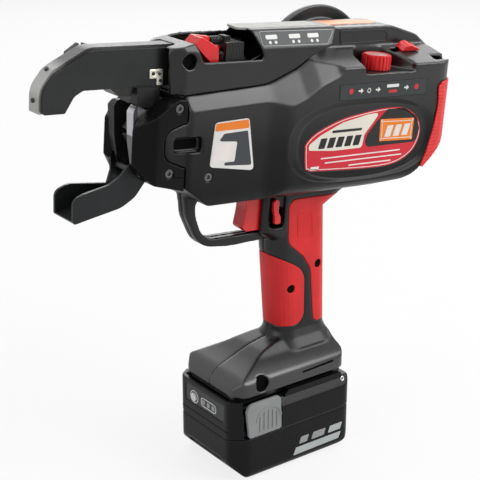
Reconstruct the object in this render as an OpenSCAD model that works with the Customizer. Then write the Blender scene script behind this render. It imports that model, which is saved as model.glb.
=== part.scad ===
// Rebar tying tool: a pistol-grip tool that curls wire round crossed bars and twists it tight.
// Nose towards -X, wire reel on the +Y side, origin at the centre of the battery's base.

/* [Body] */
// Nose-up tilt of the body over the battery's base, in degrees
body_tilt = 5; // [4:0.5:6]
// Height of the twist axis above the base, over the origin
axis_height = 255; // [253:0.5:257]
// Half width of the rear of the body
body_half_w = 36; // [35:0.5:38]
// Half width of the front of the body
front_half_w = 30; // [29:0.5:31]
// Depth of the body below the twist axis
body_depth = 49.5; // [48.5:0.5:50.5]
// Rear face of the body, measured from the tilt pivot
body_rear = 146.5; // [145:0.5:148]
// Front face of the housing, measured forwards from the tilt pivot
housing_front = 84; // [83:0.5:85]
// Wall thickness of the mouldings
wall = 2.4; // [2:0.1:2.8]
// Half width of the top cover
cover_half_w = 23; // [22:0.5:24]
// Height of the top cover above the twist axis
cover_top = 65; // [64:0.5:68]
// Rear end of the top cover
cover_rear = 43; // [41:0.5:45]
// Slope of the shoulder under the top cover, in degrees
shoulder_slope = 54; // [50:1:57]
// Slope of the control deck, in degrees
deck_slope = 19; // [16:0.5:21]
// Height of the control deck at the reel spine
deck_top = 48.6; // [47.5:0.1:50]
// Height of the reel spine above the twist axis
spine_top = 62.5; // [61.5:0.5:64]
// Distance of the spine's near wall from the middle plane
spine_near = 9; // [8:0.5:10]
// Thickness of the rear bumper
bumper_t = 1.2; // [1:0.1:2]

/* [Nose and jaw] */
// Half width of the nose cover
nose_half_w = 27.5; // [26.5:0.5:29]
// Front face of the nose cover, measured forwards
nose_front = 119; // [117:0.5:121]
// Half width of the mouth between the contact plates and their cheeks
mouth_half_w = 10.2; // [9.8:0.1:10.4]
// Thickness of a contact plate
contact_t = 2.5; // [2:0.1:2.8]
// Half thickness of the curl arm's core
arm_core_half = 6; // [5:0.5:6.5]
// Thickness of an arm side plate
arm_plate_t = 3; // [2:0.1:3.3]
// Forward reach of the arm's tip
arm_reach = 180; // [176:1:186]
// Top of the curl arm
arm_top = 56; // [55.4:0.1:57]
// Half width of the lower channel, outside
channel_half_w = 12.6; // [12.4:0.1:12.8]
// Sheet thickness of the lower channel
channel_t = 2; // [1.5:0.1:2.05]
// Radius of the lower channel's pin
channel_pin_r = 2.5; // [2:0.1:3]

/* [Twist drive] */
// Outer radius of the twist tube
tube_r = 19; // [18.5:0.1:19.4]
// Bore radius of the twist tube
tube_bore_r = 15; // [14.8:0.1:15.4]
// Radius of the twist shaft
shaft_r = 8; // [7:0.1:9]
// Radius of the twist motor
motor_r = 17.5; // [17:0.1:18.2]
// Length of the twist motor
motor_len = 60; // [54:1:66]
// Tooth module of the planetary gears
gear_module = 1; // [0.96:0.01:1.02]
// Width of the planetary gears
planet_w = 10; // [8:0.5:10.5]

/* [Wire feed] */
// Height of the wire path above the twist axis
wire_z = 42; // [41.5:0.1:42.5]
// Radius of the feed rollers
roller_r = 5.7; // [5.4:0.1:5.8]
// Radius of the feed motor
feed_motor_r = 11; // [10:0.1:11.3]
// Mean radius of the release spring's coil
spring_r = 2.3; // [2:0.1:2.6]
// Wire radius of the release spring
spring_wire_r = 0.35; // [0.3:0.01:0.4]
// Number of curls in the release spring
spring_turns = 6; // [5:1:7]

/* [Reel] */
// Outer radius of the reel case
case_r = 38.5; // [37.5:0.5:39.5]
// Radius of the case's guard plate
guard_plate_r = 48.7; // [47:0.1:50]
// Thickness of the case's guard plate
guard_plate_t = 5; // [4:0.5:6]
// Height of the reel's axis above the twist axis
reel_z = 22.5; // [22:0.5:23.5]
// Distance of the reel's axis behind the tilt pivot
reel_x = 71.5; // [71:0.5:72.5]
// Near face of the reel case, from the middle plane
case_near = 24; // [23.8:0.1:24.5]
// Depth of the reel case
case_depth = 32; // [31:0.5:34]
// Clearance between the reel's flanges and the case
reel_clear = 1.6; // [1.6:0.1:3]
// Height of the reel's flanges above the wound wire
flange_rise = 5.5; // [3:0.5:8]
// Radius of the reel's axle
axle_r = 6; // [5:0.1:7]

/* [Handle and trigger] */
// Half depth of the grip from front to back
grip_half_d = 21; // [20.5:0.1:21.5]
// Rear face of the grip behind the origin, at the grip's middle height
grip_rear = 47.3; // [46.5:0.1:48]
// Half width of the grip
grip_half_w = 13.4; // [13:0.1:14]
// Thickness of the soft pads
pad_t = 1.4; // [1.2:0.1:1.6]
// Half width of the trigger
trigger_half_w = 6.2; // [5.8:0.1:6.6]
// Travel of the trigger
trigger_travel = 7; // [5:0.5:7]
// Half width of the guard
guard_half_w = 5.5; // [5:0.5:6]

/* [Battery and foot] */
// Half length of the battery
battery_half_l = 54; // [53:0.1:55]
// Half width of the battery
battery_half_w = 37.2; // [36.6:0.1:38]
// Height of the battery's sides
battery_h = 57; // [56.6:0.1:57.1]
// Height of the seam between the tray and the top
tray_h = 33.6; // [33.2:0.1:34.4]
// Height of the upright part of the battery's sides
battery_side_h = 50; // [49:0.5:51]
// Half width of the foot
foot_half_w = 34.5; // [33.5:0.5:35]
// Half length of the foot
foot_half_l = 50; // [49:0.5:50.5]
// Underside of the foot above the base
foot_z = 57.4; // [57.3:0.1:57.8]
// Radius of a battery cell
cell_r = 9.1; // [8.6:0.1:9.15]
// Length of a battery cell
cell_len = 65; // [60:0.5:66]

/* [Controls] */
// Radius of the torque dial
dial_r = 10.5; // [9.5:0.1:11]
// Height of the torque dial
dial_h = 10; // [9:0.5:11]
// Number of ribs round the dial
dial_ribs = 22; // [16:1:26]
// Width of a battery latch
latch_w = 32; // [30:0.5:33]
// Inward travel of a battery latch
latch_travel = 2; // [1:0.1:2.1]

/* [Fits] */
// Radial clearance of shafts and pins that turn
running_gap = 0.05; // [0.02:0.01:0.1]
// Clearance between pieces that slide past each other
slide_gap = 0.4; // [0.35:0.01:0.5]
// Seam between mouldings that meet
seam_gap = 0.15; // [0.05:0.01:0.2]

/* [Hidden] */
$fn = 48;

charcoal = [0.16, 0.16, 0.17];
black = [0.07, 0.07, 0.08];
red = [0.82, 0.14, 0.16];
steel = [0.66, 0.67, 0.68];
gunmetal = [0.3, 0.31, 0.32];
brass = [0.7, 0.66, 0.5];

// Outline maths: a corner point [x, y, r] becomes an arc of radius r
function flat(p) = [p[0], p[1]];
function unit(v) = v / norm(v);
function arc(c, r, start, turn, steps) =
    [for (i = [0 : steps]) c + r * [cos(start + turn * i / steps), sin(start + turn * i / steps)]];
function corner(p, q, s, steps) =
    let (u = unit(p - flat(q)), v = unit(s - flat(q)), half = acos(u * v) / 2)
    let (c = flat(q) + unit(u + v) * q[2] / sin(half))
    let (a = flat(q) + u * q[2] / tan(half) - c, b = flat(q) + v * q[2] / tan(half) - c)
    let (start = atan2(a[1], a[0]), turn = (atan2(b[1], b[0]) - start + 540) % 360 - 180)
    arc(c, q[2], start, turn, steps);
function before(pts, i) = flat(pts[(i + len(pts) - 1) % len(pts)]);
function after(pts, i) = flat(pts[(i + 1) % len(pts)]);
function outline(pts, steps = 6) = [for (i = [0 : len(pts) - 1])
    each pts[i][2] > 0 ? corner(before(pts, i), pts[i], after(pts, i), steps) : [flat(pts[i])]];
function left_of(d) = [-d[1], d[0]];
// An anticlockwise outline moved inwards by w
function inset(pts, w) = [for (i = [0 : len(pts) - 1])
    let (d = unit(flat(pts[i]) - before(pts, i)), e = unit(after(pts, i) - flat(pts[i])))
    let (m = flat(pts[i]) + w * (left_of(d) + left_of(e)) / (1 + d * e))
    let (r = pts[i][2] + (cross(d, e) > 0 ? -w : w))
    [m[0], m[1], pts[i][2] == 0 ? 0 : max(0.2, r)]];
function mirrored(pts) =
    concat(pts, [for (i = [len(pts) - 1 : -1 : 0]) [pts[i][0], -pts[i][1], pts[i][2]]]);

// Prisms of an outline drawn in side view, plan and end view
module side_prism(pts, y0, y1) {
    translate([0, y1, 0]) rotate([90, 0, 0]) linear_extrude(y1 - y0) polygon(pts);
}
module plan_prism(pts, z0, z1) { translate([0, 0, z0]) linear_extrude(z1 - z0) polygon(pts); }
module end_prism(pts, x0, x1) {
    translate([x0, 0, 0]) rotate([90, 0, 90]) linear_extrude(x1 - x0) polygon(pts);
}
module rod_x(r, x0, x1, y = 0, z = 0) {
    translate([x0, y, z]) rotate([0, 90, 0]) cylinder(r = r, h = x1 - x0);
}
module rod_y(r, y0, y1, x, z) { translate([x, y1, z]) rotate([90, 0, 0]) cylinder(r = r, h = y1 - y0); }
module rod_z(r, z0, z1, x, y) { translate([x, y, z0]) cylinder(r = r, h = z1 - z0); }
module box(lo, hi) { translate(lo) cube(hi - lo); }
module both_sides() { children(); mirror([0, 1, 0]) children(); }
module tilted() { translate([0, 0, axis_height]) rotate([0, body_tilt, 0]) children(); }
far = 200;

// Body outlines, in the tilted frame with the twist axis on X
main_side = [[-housing_front, -35, 4], [-64, -body_depth, 16], [62, -body_depth, 90],
    [109, 4 - body_depth, 24], [body_rear + 2.5, -9.5, 18], [body_rear - 1.6, 34, 14],
    [body_rear - 9, 48, 10], [60, 80, 0], [-housing_front, 80, 0]];
main_plan = mirrored([[-housing_front, -front_half_w + 0.5, 3], [-20, -front_half_w, 18],
    [-6, -body_half_w, 18], [body_rear, -body_half_w, 18]]);
main_section = [[-body_half_w - 0.5, -body_depth, 14], [body_half_w + 0.5, -body_depth, 14],
    [body_half_w + 0.5, 80, 0], [-body_half_w - 0.5, 80, 0]];
spine_side = [[34, 30, 0], [body_rear - 4, 30, 0], [body_rear - 1, 42, 8], [127, spine_top - 7, 18],
    [102, spine_top, 24], [34, spine_top, 0]];
// Line where the top cover meets the housing
seam_line = [[46, 90, 0], [43, 66, 4], [35, 52.5, 9], [18, 46, 20], [6, 38.5, 24], [-18, 29, 40],
    [-housing_front - 30, 23.5, 0]];
cover_side = [[-91, 10, 0], [cover_rear, 10, 0], [cover_rear, cover_top, 1.5], [-42, cover_top, 40],
    [-75, cover_top - 6.5, 12], [-94.5, cover_top - 10.5, 4], [-93, 44, 3]];
cover_plan = [[-95, -15, 3], [-85, -cover_half_w, 6], [cover_rear, -cover_half_w, 0.3],
    [cover_rear, cover_half_w, 0.3], [-74, cover_half_w, 6], [-95, 10, 3]];
cover_section = [[-cover_half_w, 0, 0], [cover_half_w, 0, 0], [cover_half_w, cover_top - 16, 4],
    [cover_half_w - 15, cover_top, 5], [6 - cover_half_w, cover_top, 4],
    [-cover_half_w, cover_top - 12, 3]];
window = [[-71, 46, 2], [-22, 46, 2], [-36, 75, 0], [-86, 75, 0]];
// Inner edge of the guard's lower bar
guard_floor = -80.5;
guard_outer = [[-71, -30, 0], [-65, -63, 18], [-53, guard_floor - 5, 20], [-28, guard_floor - 7.5, 60],
    [10, guard_floor - 6, 0], [10, -30, 0]];
guard_inner = [[-59, -body_depth, 7], [-57, -64, 14], [-50, guard_floor, 14], [-10.5, guard_floor, 3],
    [-10.5, -body_depth, 5]];
neck_front = -3;
neck_side = [[neck_front, -30, 0], [neck_front, guard_floor, 2], [9, -87, 0], [31, -87, 0], [31, -78, 0],
    [70, -54, 0], [70, -30, 0]];
neck_corner = 9;
grip_x = 22.8;
grip_lean = 4;
grip_mid_z = 140;
grip_drop = 70;
grip_rise = 64;
grip_plan = mirrored([[-grip_half_d, -grip_half_w, grip_half_w - 1.5],
    [grip_half_d, -grip_half_w, grip_half_w - 2.5]]);
// The rear half of the grip leans less than the front
back_lean = 1.3;
back_half_d = 18;
back_plan = mirrored([[-back_half_d, -grip_half_w, 8], [back_half_d, -grip_half_w, grip_half_w - 2.5]]);
foot_side = [[-foot_half_l, foot_z, 0], [foot_half_l, foot_z, 1], [foot_half_l, 78, 16], [48.5, 91, 3],
    [4, 91, 10], [-14, 87.5, 30], [-44, 77, 18], [-foot_half_l, 70, 5]];
foot_plan = mirrored([[-foot_half_l, -26.5, 6], [-42.5, -foot_half_w, 8], [foot_half_l, -foot_half_w, 7]]);
foot_section = [[-foot_half_w, foot_z, 0], [foot_half_w, foot_z, 0], [foot_half_w, 75.5, 5], [20, 84.5, 18],
    [13, 91, 6], [-13, 91, 6], [-20, 84.5, 18], [-foot_half_w, 75.5, 5]];
// Under edge of the foot's sides, over the battery's rails and latches
skirt_z = 64.6;
skirt_half_w = 28;

// Everything under the shoulder surface, which passes through the seam line at the cover's side
module under_shoulder(drop) {
    lift = cover_half_w * sin(shoulder_slope) - drop;
    pts = concat([[-far, -far, 0], [far, -far, 0], [far, far, 0]],
        [for (p = seam_line) [p[0], p[1] * cos(shoulder_slope) + lift, p[2]]], [[-far, 0, 0]]);
    rotate([90 + shoulder_slope, 0, 0]) linear_extrude(2 * far, center = true) polygon(outline(pts));
}
module under_deck(drop) {
    on_deck() box([-far, -far, -far], [far, far, -drop]);
}
// The body without its walls taken out, moved inwards by w
module main_body(w) {
    intersection() {
        side_prism(outline(inset(main_side, w)), -far, far);
        plan_prism(outline(inset(main_plan, w)), -far, far);
        end_prism(outline(inset(main_section, w)), -far, far);
        under_shoulder(w);
        mirror([0, 1, 0]) under_shoulder(w);
        under_deck(w);
        mirror([0, 1, 0]) under_deck(w);
    }
}
module spine(w) { side_prism(outline(inset(spine_side, w)), -spine_near + w, case_near - w); }
module above_seam(y, drop) {
    pts = concat([for (p = seam_line) [p[0], p[1] - drop, p[2]]],
        [[-far, 20, 0], [-far, far, 0], [46, far, 0]]);
    side_prism(outline(pts), -y, y);
}
// A prism with two rounded corners, its rounded face through the point p and leaning by a degrees
module rounded_face(p, a, side, w) {
    pts = mirrored([[0, -grip_half_w, neck_corner], [far, -grip_half_w, 0]]);
    translate([p[0], 0, p[1]]) rotate([0, a, 0]) mirror([side, 0, 0])
        plan_prism(outline(inset(pts, w)), -far, far);
}
// Angle of the line from p to q off the upright
function steepness(p, q) = atan2(abs(p[0] - q[0]), abs(p[1] - q[1]));
module neck(w) {
    intersection() {
        side_prism(outline(inset(neck_side, w)), -far, far);
        rounded_face([neck_front, 0], 0, 0, w);
        rounded_face(neck_side[1], -steepness(neck_side[1], neck_side[2]), 0, w);
        rounded_face(neck_side[5], steepness(neck_side[5], neck_side[4]), 1, w);
    }
}
module handle(w) {
    tilted() neck(w);
    translate([grip_x, 0, grip_mid_z]) rotate([0, -grip_lean, 0])
        plan_prism(outline(inset(grip_plan, w)), -grip_drop, grip_rise);
    translate([grip_rear - back_half_d, 0, grip_mid_z]) rotate([0, -back_lean, 0])
        plan_prism(outline(inset(back_plan, w)), -grip_drop, grip_rise);
}
module foot_block(w) {
    intersection() {
        side_prism(outline(inset(foot_side, w)), -far, far);
        plan_prism(outline(inset(foot_plan, w)), 0, far);
        end_prism(outline(inset(foot_section, w)), -far, far);
    }
}
// Collar where the grip spreads into the foot: half width and height of its rings
collar_rings = [[23, 84], [18, 90], [grip_half_w + pad_t, 97]];
collar_ends = [18.4, 34.5];
module collar() {
    left_half = [for (i = [len(collar_rings) - 1 : -1 : 0]) [-collar_rings[i][0], collar_rings[i][1]]];
    end_prism(concat(collar_rings, left_half), collar_ends[0], collar_ends[1]);
    for (x = collar_ends, i = [1, 2]) translate([x, 0, collar_rings[i - 1][1]])
        cylinder(r1 = collar_rings[i - 1][0], r2 = collar_rings[i][0],
            h = collar_rings[i][1] - collar_rings[i - 1][1]);
}
// Side views of the two soft pads, in the frame of the base
front_pad_side = [[-30, 106, 0], [8, 99, 14], [25.6, 99, 9], [25.6, 141, 16], [8, 151.5, 10],
    [-30, 172, 0]];
rear_pad_side = [[34, 97.5, 5], [80, 97.5, 0], [80, 191, 0], [10, 197.5, 7], [10, 164, 10], [23.5, 152, 10],
    [30.5, 141, 14]];
module pad_zone(pts, gap) { side_prism(outline(inset(pts, gap)), -far, far); }

rail_half_w = 24;
rail_top = 64;
rail_neck_half_w = 20;
rail_neck_top = 60.4;
rail_rear = 38;
module rail_slot(g) {
    right_half = [[rail_neck_half_w + g, 50], [rail_neck_half_w + g, rail_neck_top - g],
        [rail_half_w + g, rail_neck_top - g], [rail_half_w + g, rail_top + g]];
    left_half = [for (i = [3 : -1 : 0]) [-right_half[i][0], right_half[i][1]]];
    end_prism(concat(right_half, left_half), -far, rail_rear + (g > 0 ? 10 : 0));
}
// Near-side screw places in side view
screw_r = 2.9;
shank_r = 1.5;
body_screw = [-67, -28];
grip_screws = [[13.4, 128.5], [38, 143]];
grip_head_t = 0.9;
grip_screw_floor = 1.2 - grip_half_w;
foot_hole = [-27, 72];
foot_hole_r = 5.6;
foot_hole_depth = 9;
module grip_screw_places() { for (p = grip_screws) translate([p[0], 0, p[1]]) children(); }
pin_bore = channel_pin_r + running_gap;
channel_pin = [-112, -24];
channel_swing_r = 8.6;

// Control deck
dial_at = [78.5, -21];
dial_floor = 34.4;
pocket_plan = [[54, -60, 0], [104, -60, 0], [104, -33, 6], [92, -9.8, 8], [66, -9.3, 10], [58, -20, 8]];
module on_deck() { translate([0, -spine_near, deck_top]) rotate([deck_slope, 0, 0]) children(); }
stop_x = [106, 119];
stop_travel = 6;
stop_y = -7;
stop_half_w = 2;

rib_xs = [-72, -30];
motor_front = 41;
motor_rib_xs = [motor_front + 12, motor_front + motor_len - 10];
rib_t = 3;
feed_floor = tube_r + 1.5;
board = [[-2, -30], [46, 10]];
board_face = body_half_w - wall - 4;

module housing_solid() {
    tilted() {
        difference() {
            union() {
                main_body(0);
                spine(0);
            }
            difference() {
                union() {
                    main_body(wall);
                    spine(wall);
                }
                // Reel pocket wall, dial pocket walls and cradle ribs stay
                rod_y(case_r + wall, case_near - wall, far, reel_x, reel_z);
                plan_prism(outline(inset(pocket_plan, -wall)), dial_floor - wall, far);
                for (x = rib_xs) box([x, -far, -far], [x + rib_t, far, feed_floor]);
                for (x = motor_rib_xs) box([x, -far, -far], [x + rib_t, far, 4]);
                for (x = [board[0][0] + 4, board[1][0] - 4], z = [board[0][1] + 4, board[1][1] - 4])
                    rod_y(3, -far, -board_face, x, z);
                rod_y(4.5, -far, far, body_screw[0], body_screw[1]);
            }
            plan_prism(outline(pocket_plan), dial_floor, far);
            rod_z(3 + running_gap, 0, far, dial_at[0], dial_at[1]);
            rod_y(case_r + seam_gap, case_near, far, reel_x, reel_z);
            end_prism(outline(strap_slot), body_rear - 20, far);
            above_seam(cover_half_w + seam_gap, 0);
            box([33, -cover_half_w - 1, 52], [cover_rear + 0.6, cover_half_w + 1, far]);
            rod_x(tube_r + seam_gap, -far, motor_front - 13.8);
            rod_x(motor_r + seam_gap, motor_front - 1, motor_front + motor_len + 1);
            on_deck() box([stop_x[0] - stop_travel - 3, stop_y - stop_half_w - slide_gap, -8],
                [stop_x[1] + 1, stop_y + stop_half_w + slide_gap, 5]);
        }
        // Tongue that enters the nose cover's notch
        both_sides() side_prism(outline(inset(notch, slide_gap)), 20 + slide_gap, nose_half_w);
        difference() {
            side_prism(outline(guard_outer), -guard_half_w, guard_half_w);
            side_prism(outline(guard_inner), -far, far);
            main_body(wall / 2);
            box([-100, -far, -body_depth + 6], [40, far, 0]);
        }
    }
}
notch = [[-72, -20.5, 0], [-72, 8.5, 0], [-87, 8.5, 3], [-101, 4, 8], [-101, -14, 9], [-86, -20.5, 6]];

module handle_skin() {
    difference() {
        union() {
            handle(-pad_t);
            foot_block(0);
            intersection() {
                collar();
                plan_prism(outline(foot_plan), 0, far);
            }
        }
        for (p = [front_pad_side, rear_pad_side]) difference() {
            pad_zone(p, 0);
            handle(0);
        }
    }
}
module housing_half(side) {
    color(charcoal) intersection() {
        union() {
            difference() {
                union() {
                    housing_solid();
                    difference() {
                        handle_skin();
                        tilted() main_body(wall / 2);
                    }
                }
                handle(wall);
                rail_slot(slide_gap);
                box([-36, -22, 58], [34, 22, 76]);
                both_sides() box([-far, skirt_half_w, 0], [far, far, skirt_z]);
                tilted() {
                    box([-20, -trigger_half_w - slide_gap, guard_floor],
                        [7, trigger_half_w + slide_gap, -body_depth + 0.2]);
                    side_prism(outline(lock_slot), -far, wall - grip_half_w);
                    rod_y(lock_pin_r + running_gap, -far, 0, lock_pin_at[0], lock_pin_at[1]);
                    both_sides() side_prism(outline(tongue_recess), nose_half_w - 3, far);
                    rod_y(screw_r + 0.3, -far, 3 - front_half_w, body_screw[0], body_screw[1]);
                    rod_y(shank_r + seam_gap, -far, 8, body_screw[0], body_screw[1]);
                }
                grip_screw_places() rod_y(screw_r + 0.3, -far, grip_screw_floor, 0, 0);
                rod_y(foot_hole_r, -far, foot_hole_depth - foot_half_w, foot_hole[0], foot_hole[1]);
            }
            tilted() difference() {
                box([-1, wall - grip_half_w - 0.4, -62], [switch_front - 0.4, wall - grip_half_w + 2, -51]);
                rod_y(lock_pin_r + running_gap, -far, far, lock_pin_at[0], lock_pin_at[1]);
            }
        }
        box([-far, side < 0 ? -far : 0, -1], [far, side < 0 ? 0 : far, 2 * far]);
    }
}
lock_slot = [[0, -76.5, 3], [12.6, -76.5, 3], [12.6, -53, 2], [0, -53, 2]];
tongue_recess = [[-94, -10, 2], [-73.5, -10.5, 2], [-73.5, -0.5, 2], [-94, -0.5, 2]];

module housing_left() { housing_half(-1); }
module housing_right() { housing_half(1); }

module cover_block(w) {
    intersection() {
        side_prism(outline(inset(cover_side, w)), -far, far);
        plan_prism(outline(inset(cover_plan, w)), 0, far);
        end_prism(outline(inset(cover_section, w)), -far, far);
    }
}
cover_hole = [-81.5, 47];
cover_hole_r = 5;
module top_cover() {
    color(charcoal) tilted() intersection() {
        difference() {
            cover_block(0);
            difference() {
                cover_block(wall);
                rod_y(cover_hole_r + wall, -far, -cover_half_w + 7, cover_hole[0], cover_hole[1]);
            }
            side_prism(outline(window), -far, 12);
            rod_y(cover_hole_r, -far, -cover_half_w + 5, cover_hole[0], cover_hole[1]);
            box([-far, -arm_face - 0.3, 0], [-housing_front, arm_face + 0.3, arm_top + 0.3]);
            box([-far, -14.3, 0], [-88.6, 0, arm_top - 2]);
        }
        above_seam(far, -seam_gap);
    }
}

nose_side = [[-nose_front, -18, 4], [-108, -30.5, 5], [-housing_front - seam_gap, -36.5, 0],
    [-housing_front - seam_gap, 23.5, 0], [-91, 24.4, 2], [-100, 18.5, 6], [-109, 12.5, 4],
    [-nose_front, 6, 3]];
nose_plan = mirrored([[-nose_front, -17.5, 2], [-107, -nose_half_w, 4], [-70, -nose_half_w, 0]]);
nose_screw_at = [[-91, 18.5], [-96.5, -23.3]];
tube_front = -90;
// The mouth widens towards the front from here
flare_x = -111;
flare_half_w = 17.5;
module nose_cover() {
    color(black) tilted() difference() {
        intersection() {
            side_prism(outline(nose_side), -far, far);
            plan_prism(outline(nose_plan), -far, far);
        }
        both_sides() side_prism(outline(notch), 20, far);
        box([-far, -mouth_half_w, -far], [tube_front - 4, mouth_half_w, far]);
        both_sides() plan_prism([[-nose_front - 1, mouth_half_w - 1], [flare_x, mouth_half_w - 1],
            [flare_x, mouth_half_w], [-nose_front - 1, flare_half_w]], -far, far);
        box([-far, -channel_half_w - 0.6, -far], [-97, channel_half_w + 0.6, -10]);
        rod_x(tube_r + seam_gap, tube_front, 0);
        rod_x(shaft_r + 2, tube_front - 5, 0);
        rod_y(pin_bore, -18, 18, channel_pin[0], channel_pin[1]);
        both_sides() for (p = nose_screw_at) {
            rod_y(screw_r + 0.3, nose_half_w - 2.5, far, p[0], p[1]);
            rod_y(shank_r + seam_gap, nose_half_w - 10, far, p[0], p[1]);
        }
    }
}
module pad(zone) {
    color(red) difference() {
        intersection() {
            handle(-pad_t);
            pad_zone(zone, seam_gap);
        }
        handle(0);
        tilted() main_body(0);
        grip_screw_places() rod_y(screw_r + 0.3, -far, 0, 0, 0);
    }
}
module grip_front_pad() { pad(front_pad_side); }
module grip_rear_pad() { pad(rear_pad_side); }

bumper_side = [[117.5, -36, 0.5], [165, -60, 0], [165, 28, 0], [131, 25.5, 3], [127.6, 22, 2],
    [129.2, 8, 20], [126.5, -9, 40], [122, -26, 30]];
strap_slot = [[-31, 28, 2.5], [-24, 28, 2.5], [-24, 43, 2.5], [-31, 43, 2.5]];
module rear_bumper() {
    color(red) tilted() difference() {
        intersection() {
            main_body(-bumper_t);
            side_prism(outline(bumper_side), -far, case_near - 1);
        }
        main_body(0);
    }
}
module screw(depth) {
    rod_y(screw_r, -2.2, 0, 0, 0);
    rod_y(shank_r, -0.1, depth, 0, 0);
}
module socket_screw(depth) {
    difference() {
        screw(depth);
        rotate([0, 30, 0]) translate([0, -1, 0]) rotate([90, 0, 0]) cylinder(r = 1.5, h = 3, $fn = 6);
    }
}
module housing_screws() {
    color(gunmetal) {
        tilted() translate([body_screw[0], 3 - front_half_w, body_screw[1]]) socket_screw(20);
        grip_screw_places() rod_y(screw_r, grip_screw_floor - grip_head_t, grip_screw_floor, 0, 0);
    }
}
module nose_screws() {
    color(steel) tilted() both_sides() for (p = nose_screw_at)
        translate([p[0], 2.5 - nose_half_w, p[1]]) socket_screw(6.5);
}

// Curl arm: a steel core between two side plates
core_proud = 1.8;
arm_tip = -arm_reach;
arm_rear = -housing_front - 1;
arm_floor = 30;
tip_floor = 16.5;
arm_side = [[arm_tip + 2, tip_floor, 1.5], [arm_tip + 17, tip_floor, 1.5], [arm_tip + 23, 26.5, 6],
    [arm_tip + 29, arm_floor, 6],
    [arm_rear, arm_floor, 0], [arm_rear, arm_top - core_proud, 0], [arm_tip + 34, arm_top - core_proud, 12],
    [arm_tip + 10, 41.5, 10], [arm_tip + 2, 31, 14]];
core_outline = outline(inset(arm_side, -core_proud));
module arm_core() {
    color(steel) tilted() difference() {
        side_prism(core_outline, -arm_core_half, arm_core_half);
        box([-far, -far, 0], [far, far, tip_floor]);
        box([arm_tip + 25, -far, 0], [far, far, arm_floor]);
        box([arm_rear, -far, 0], [far, far, far]);
    }
}
module arm_plate(side) {
    color(gunmetal) tilted() mirror([0, side > 0 ? 0 : 1, 0])
        side_prism(outline(arm_side), arm_core_half, arm_core_half + arm_plate_t);
}
module arm_plate_left() { arm_plate(-1); }
module arm_plate_right() { arm_plate(1); }
arm_face = arm_core_half + arm_plate_t;
arm_bumper_side = [[arm_tip + 27.5, 41, 1], [arm_tip + 42, 48.5, 1], [arm_tip + 45.5, 51, 1],
    [arm_tip + 41.5, 55.5, 1], [arm_tip + 36, 56.5, 1], [arm_tip + 27, 50.5, 1]];
module arm_bumper() {
    color(black) tilted() difference() {
        side_prism(outline(arm_bumper_side), arm_face, arm_face + 4);
        box([arm_tip + 35.5, 0, 52.5], [arm_tip + 39, far, 60]);
    }
}
cutter_front = -113.5;
liner_rear = cutter_front - 0.5;
liner_len = 0.46 * (cutter_front - arm_tip - 29);
liner_drop = 5.5;
liner_side = [[liner_rear - liner_len, arm_floor], [liner_rear - 0.6 * liner_len, arm_floor - liner_drop],
    [liner_rear - 0.1 * liner_len, arm_floor - liner_drop], [liner_rear, arm_floor]];
module curl_liner() {
    color(steel) tilted() side_prism(liner_side, -arm_face + 0.5, arm_face - 0.5);
}
module arm_bracket() {
    color([0.85, 0.84, 0.76]) tilted() difference() {
        side_prism([[-98, 30.5], [-93.3, 30.5], [-93.3, 41], [-103.5, 41], [-103.5, 35], [-98, 35]],
            -arm_face - 1, -arm_face);
        rod_y(1.2, -far, 0, -100.5, 38);
    }
}
module arm_screws() {
    color(gunmetal) tilted() {
        translate([core_outline[40][0], 1, core_outline[40][1]]) rotate([0, 49.7, 0]) rod_x(1.5, -0.8, 0);
        rod_x(1.5, arm_tip + 2 - core_proud - 0.8, arm_tip + 2 - core_proud, 1, 24);
        for (p = [[-96.5, 38], [-95.5, 33.5]]) rod_y(1, -arm_face - 1.6, -arm_face - 1, p[0], p[1]);
    }
}
module cutter_block() {
    color([0.5, 0.51, 0.52]) tilted() difference() {
        union() {
            side_prism(outline([[cutter_front, 17, 2], [-101.5, 17, 2], [-100, arm_floor, 0],
                [cutter_front, arm_floor, 0]]), -12, -4);
            side_prism(outline([[-101.5, 15.5, 1.5], [-96, 19, 1.5], [-95, arm_floor, 0],
                [-101.5, arm_floor, 0]]), -10, -5);
        }
        // The near contact plate reaches up behind the block's lip
        side_prism(outline(inset(plate_side, -seam_gap)), -flare_half_w - seam_gap, far);
    }
}
plate_side = [[-117, -4, 1], [-113.5, -22, 1.5], [-97.5, -22, 1], [-97.5, 12, 1], [-104, 14.5, 2],
    [-115, 20, 3], [-118, 15, 2]];
module contact_plate(side) {
    color(steel) tilted() difference() {
        mirror([0, side > 0 ? 0 : 1, 0]) intersection() {
            side_prism(outline(plate_side), mouth_half_w - contact_t, flare_half_w);
            plan_prism([[-far, 0], [far, 0], [far, mouth_half_w], [flare_x - 0.35, mouth_half_w],
                [-nose_front - 1.35, flare_half_w], [-far, flare_half_w]], -far, far);
        }
        rod_y(pin_bore, -far, far, channel_pin[0], channel_pin[1]);
        // Room for the channel's walls
        both_sides() rod_y(channel_swing_r, mouth_half_w, far, channel_pin[0], channel_pin[1]);
    }
}
module contact_plate_left() { contact_plate(-1); }
module contact_plate_right() { contact_plate(1); }

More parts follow.
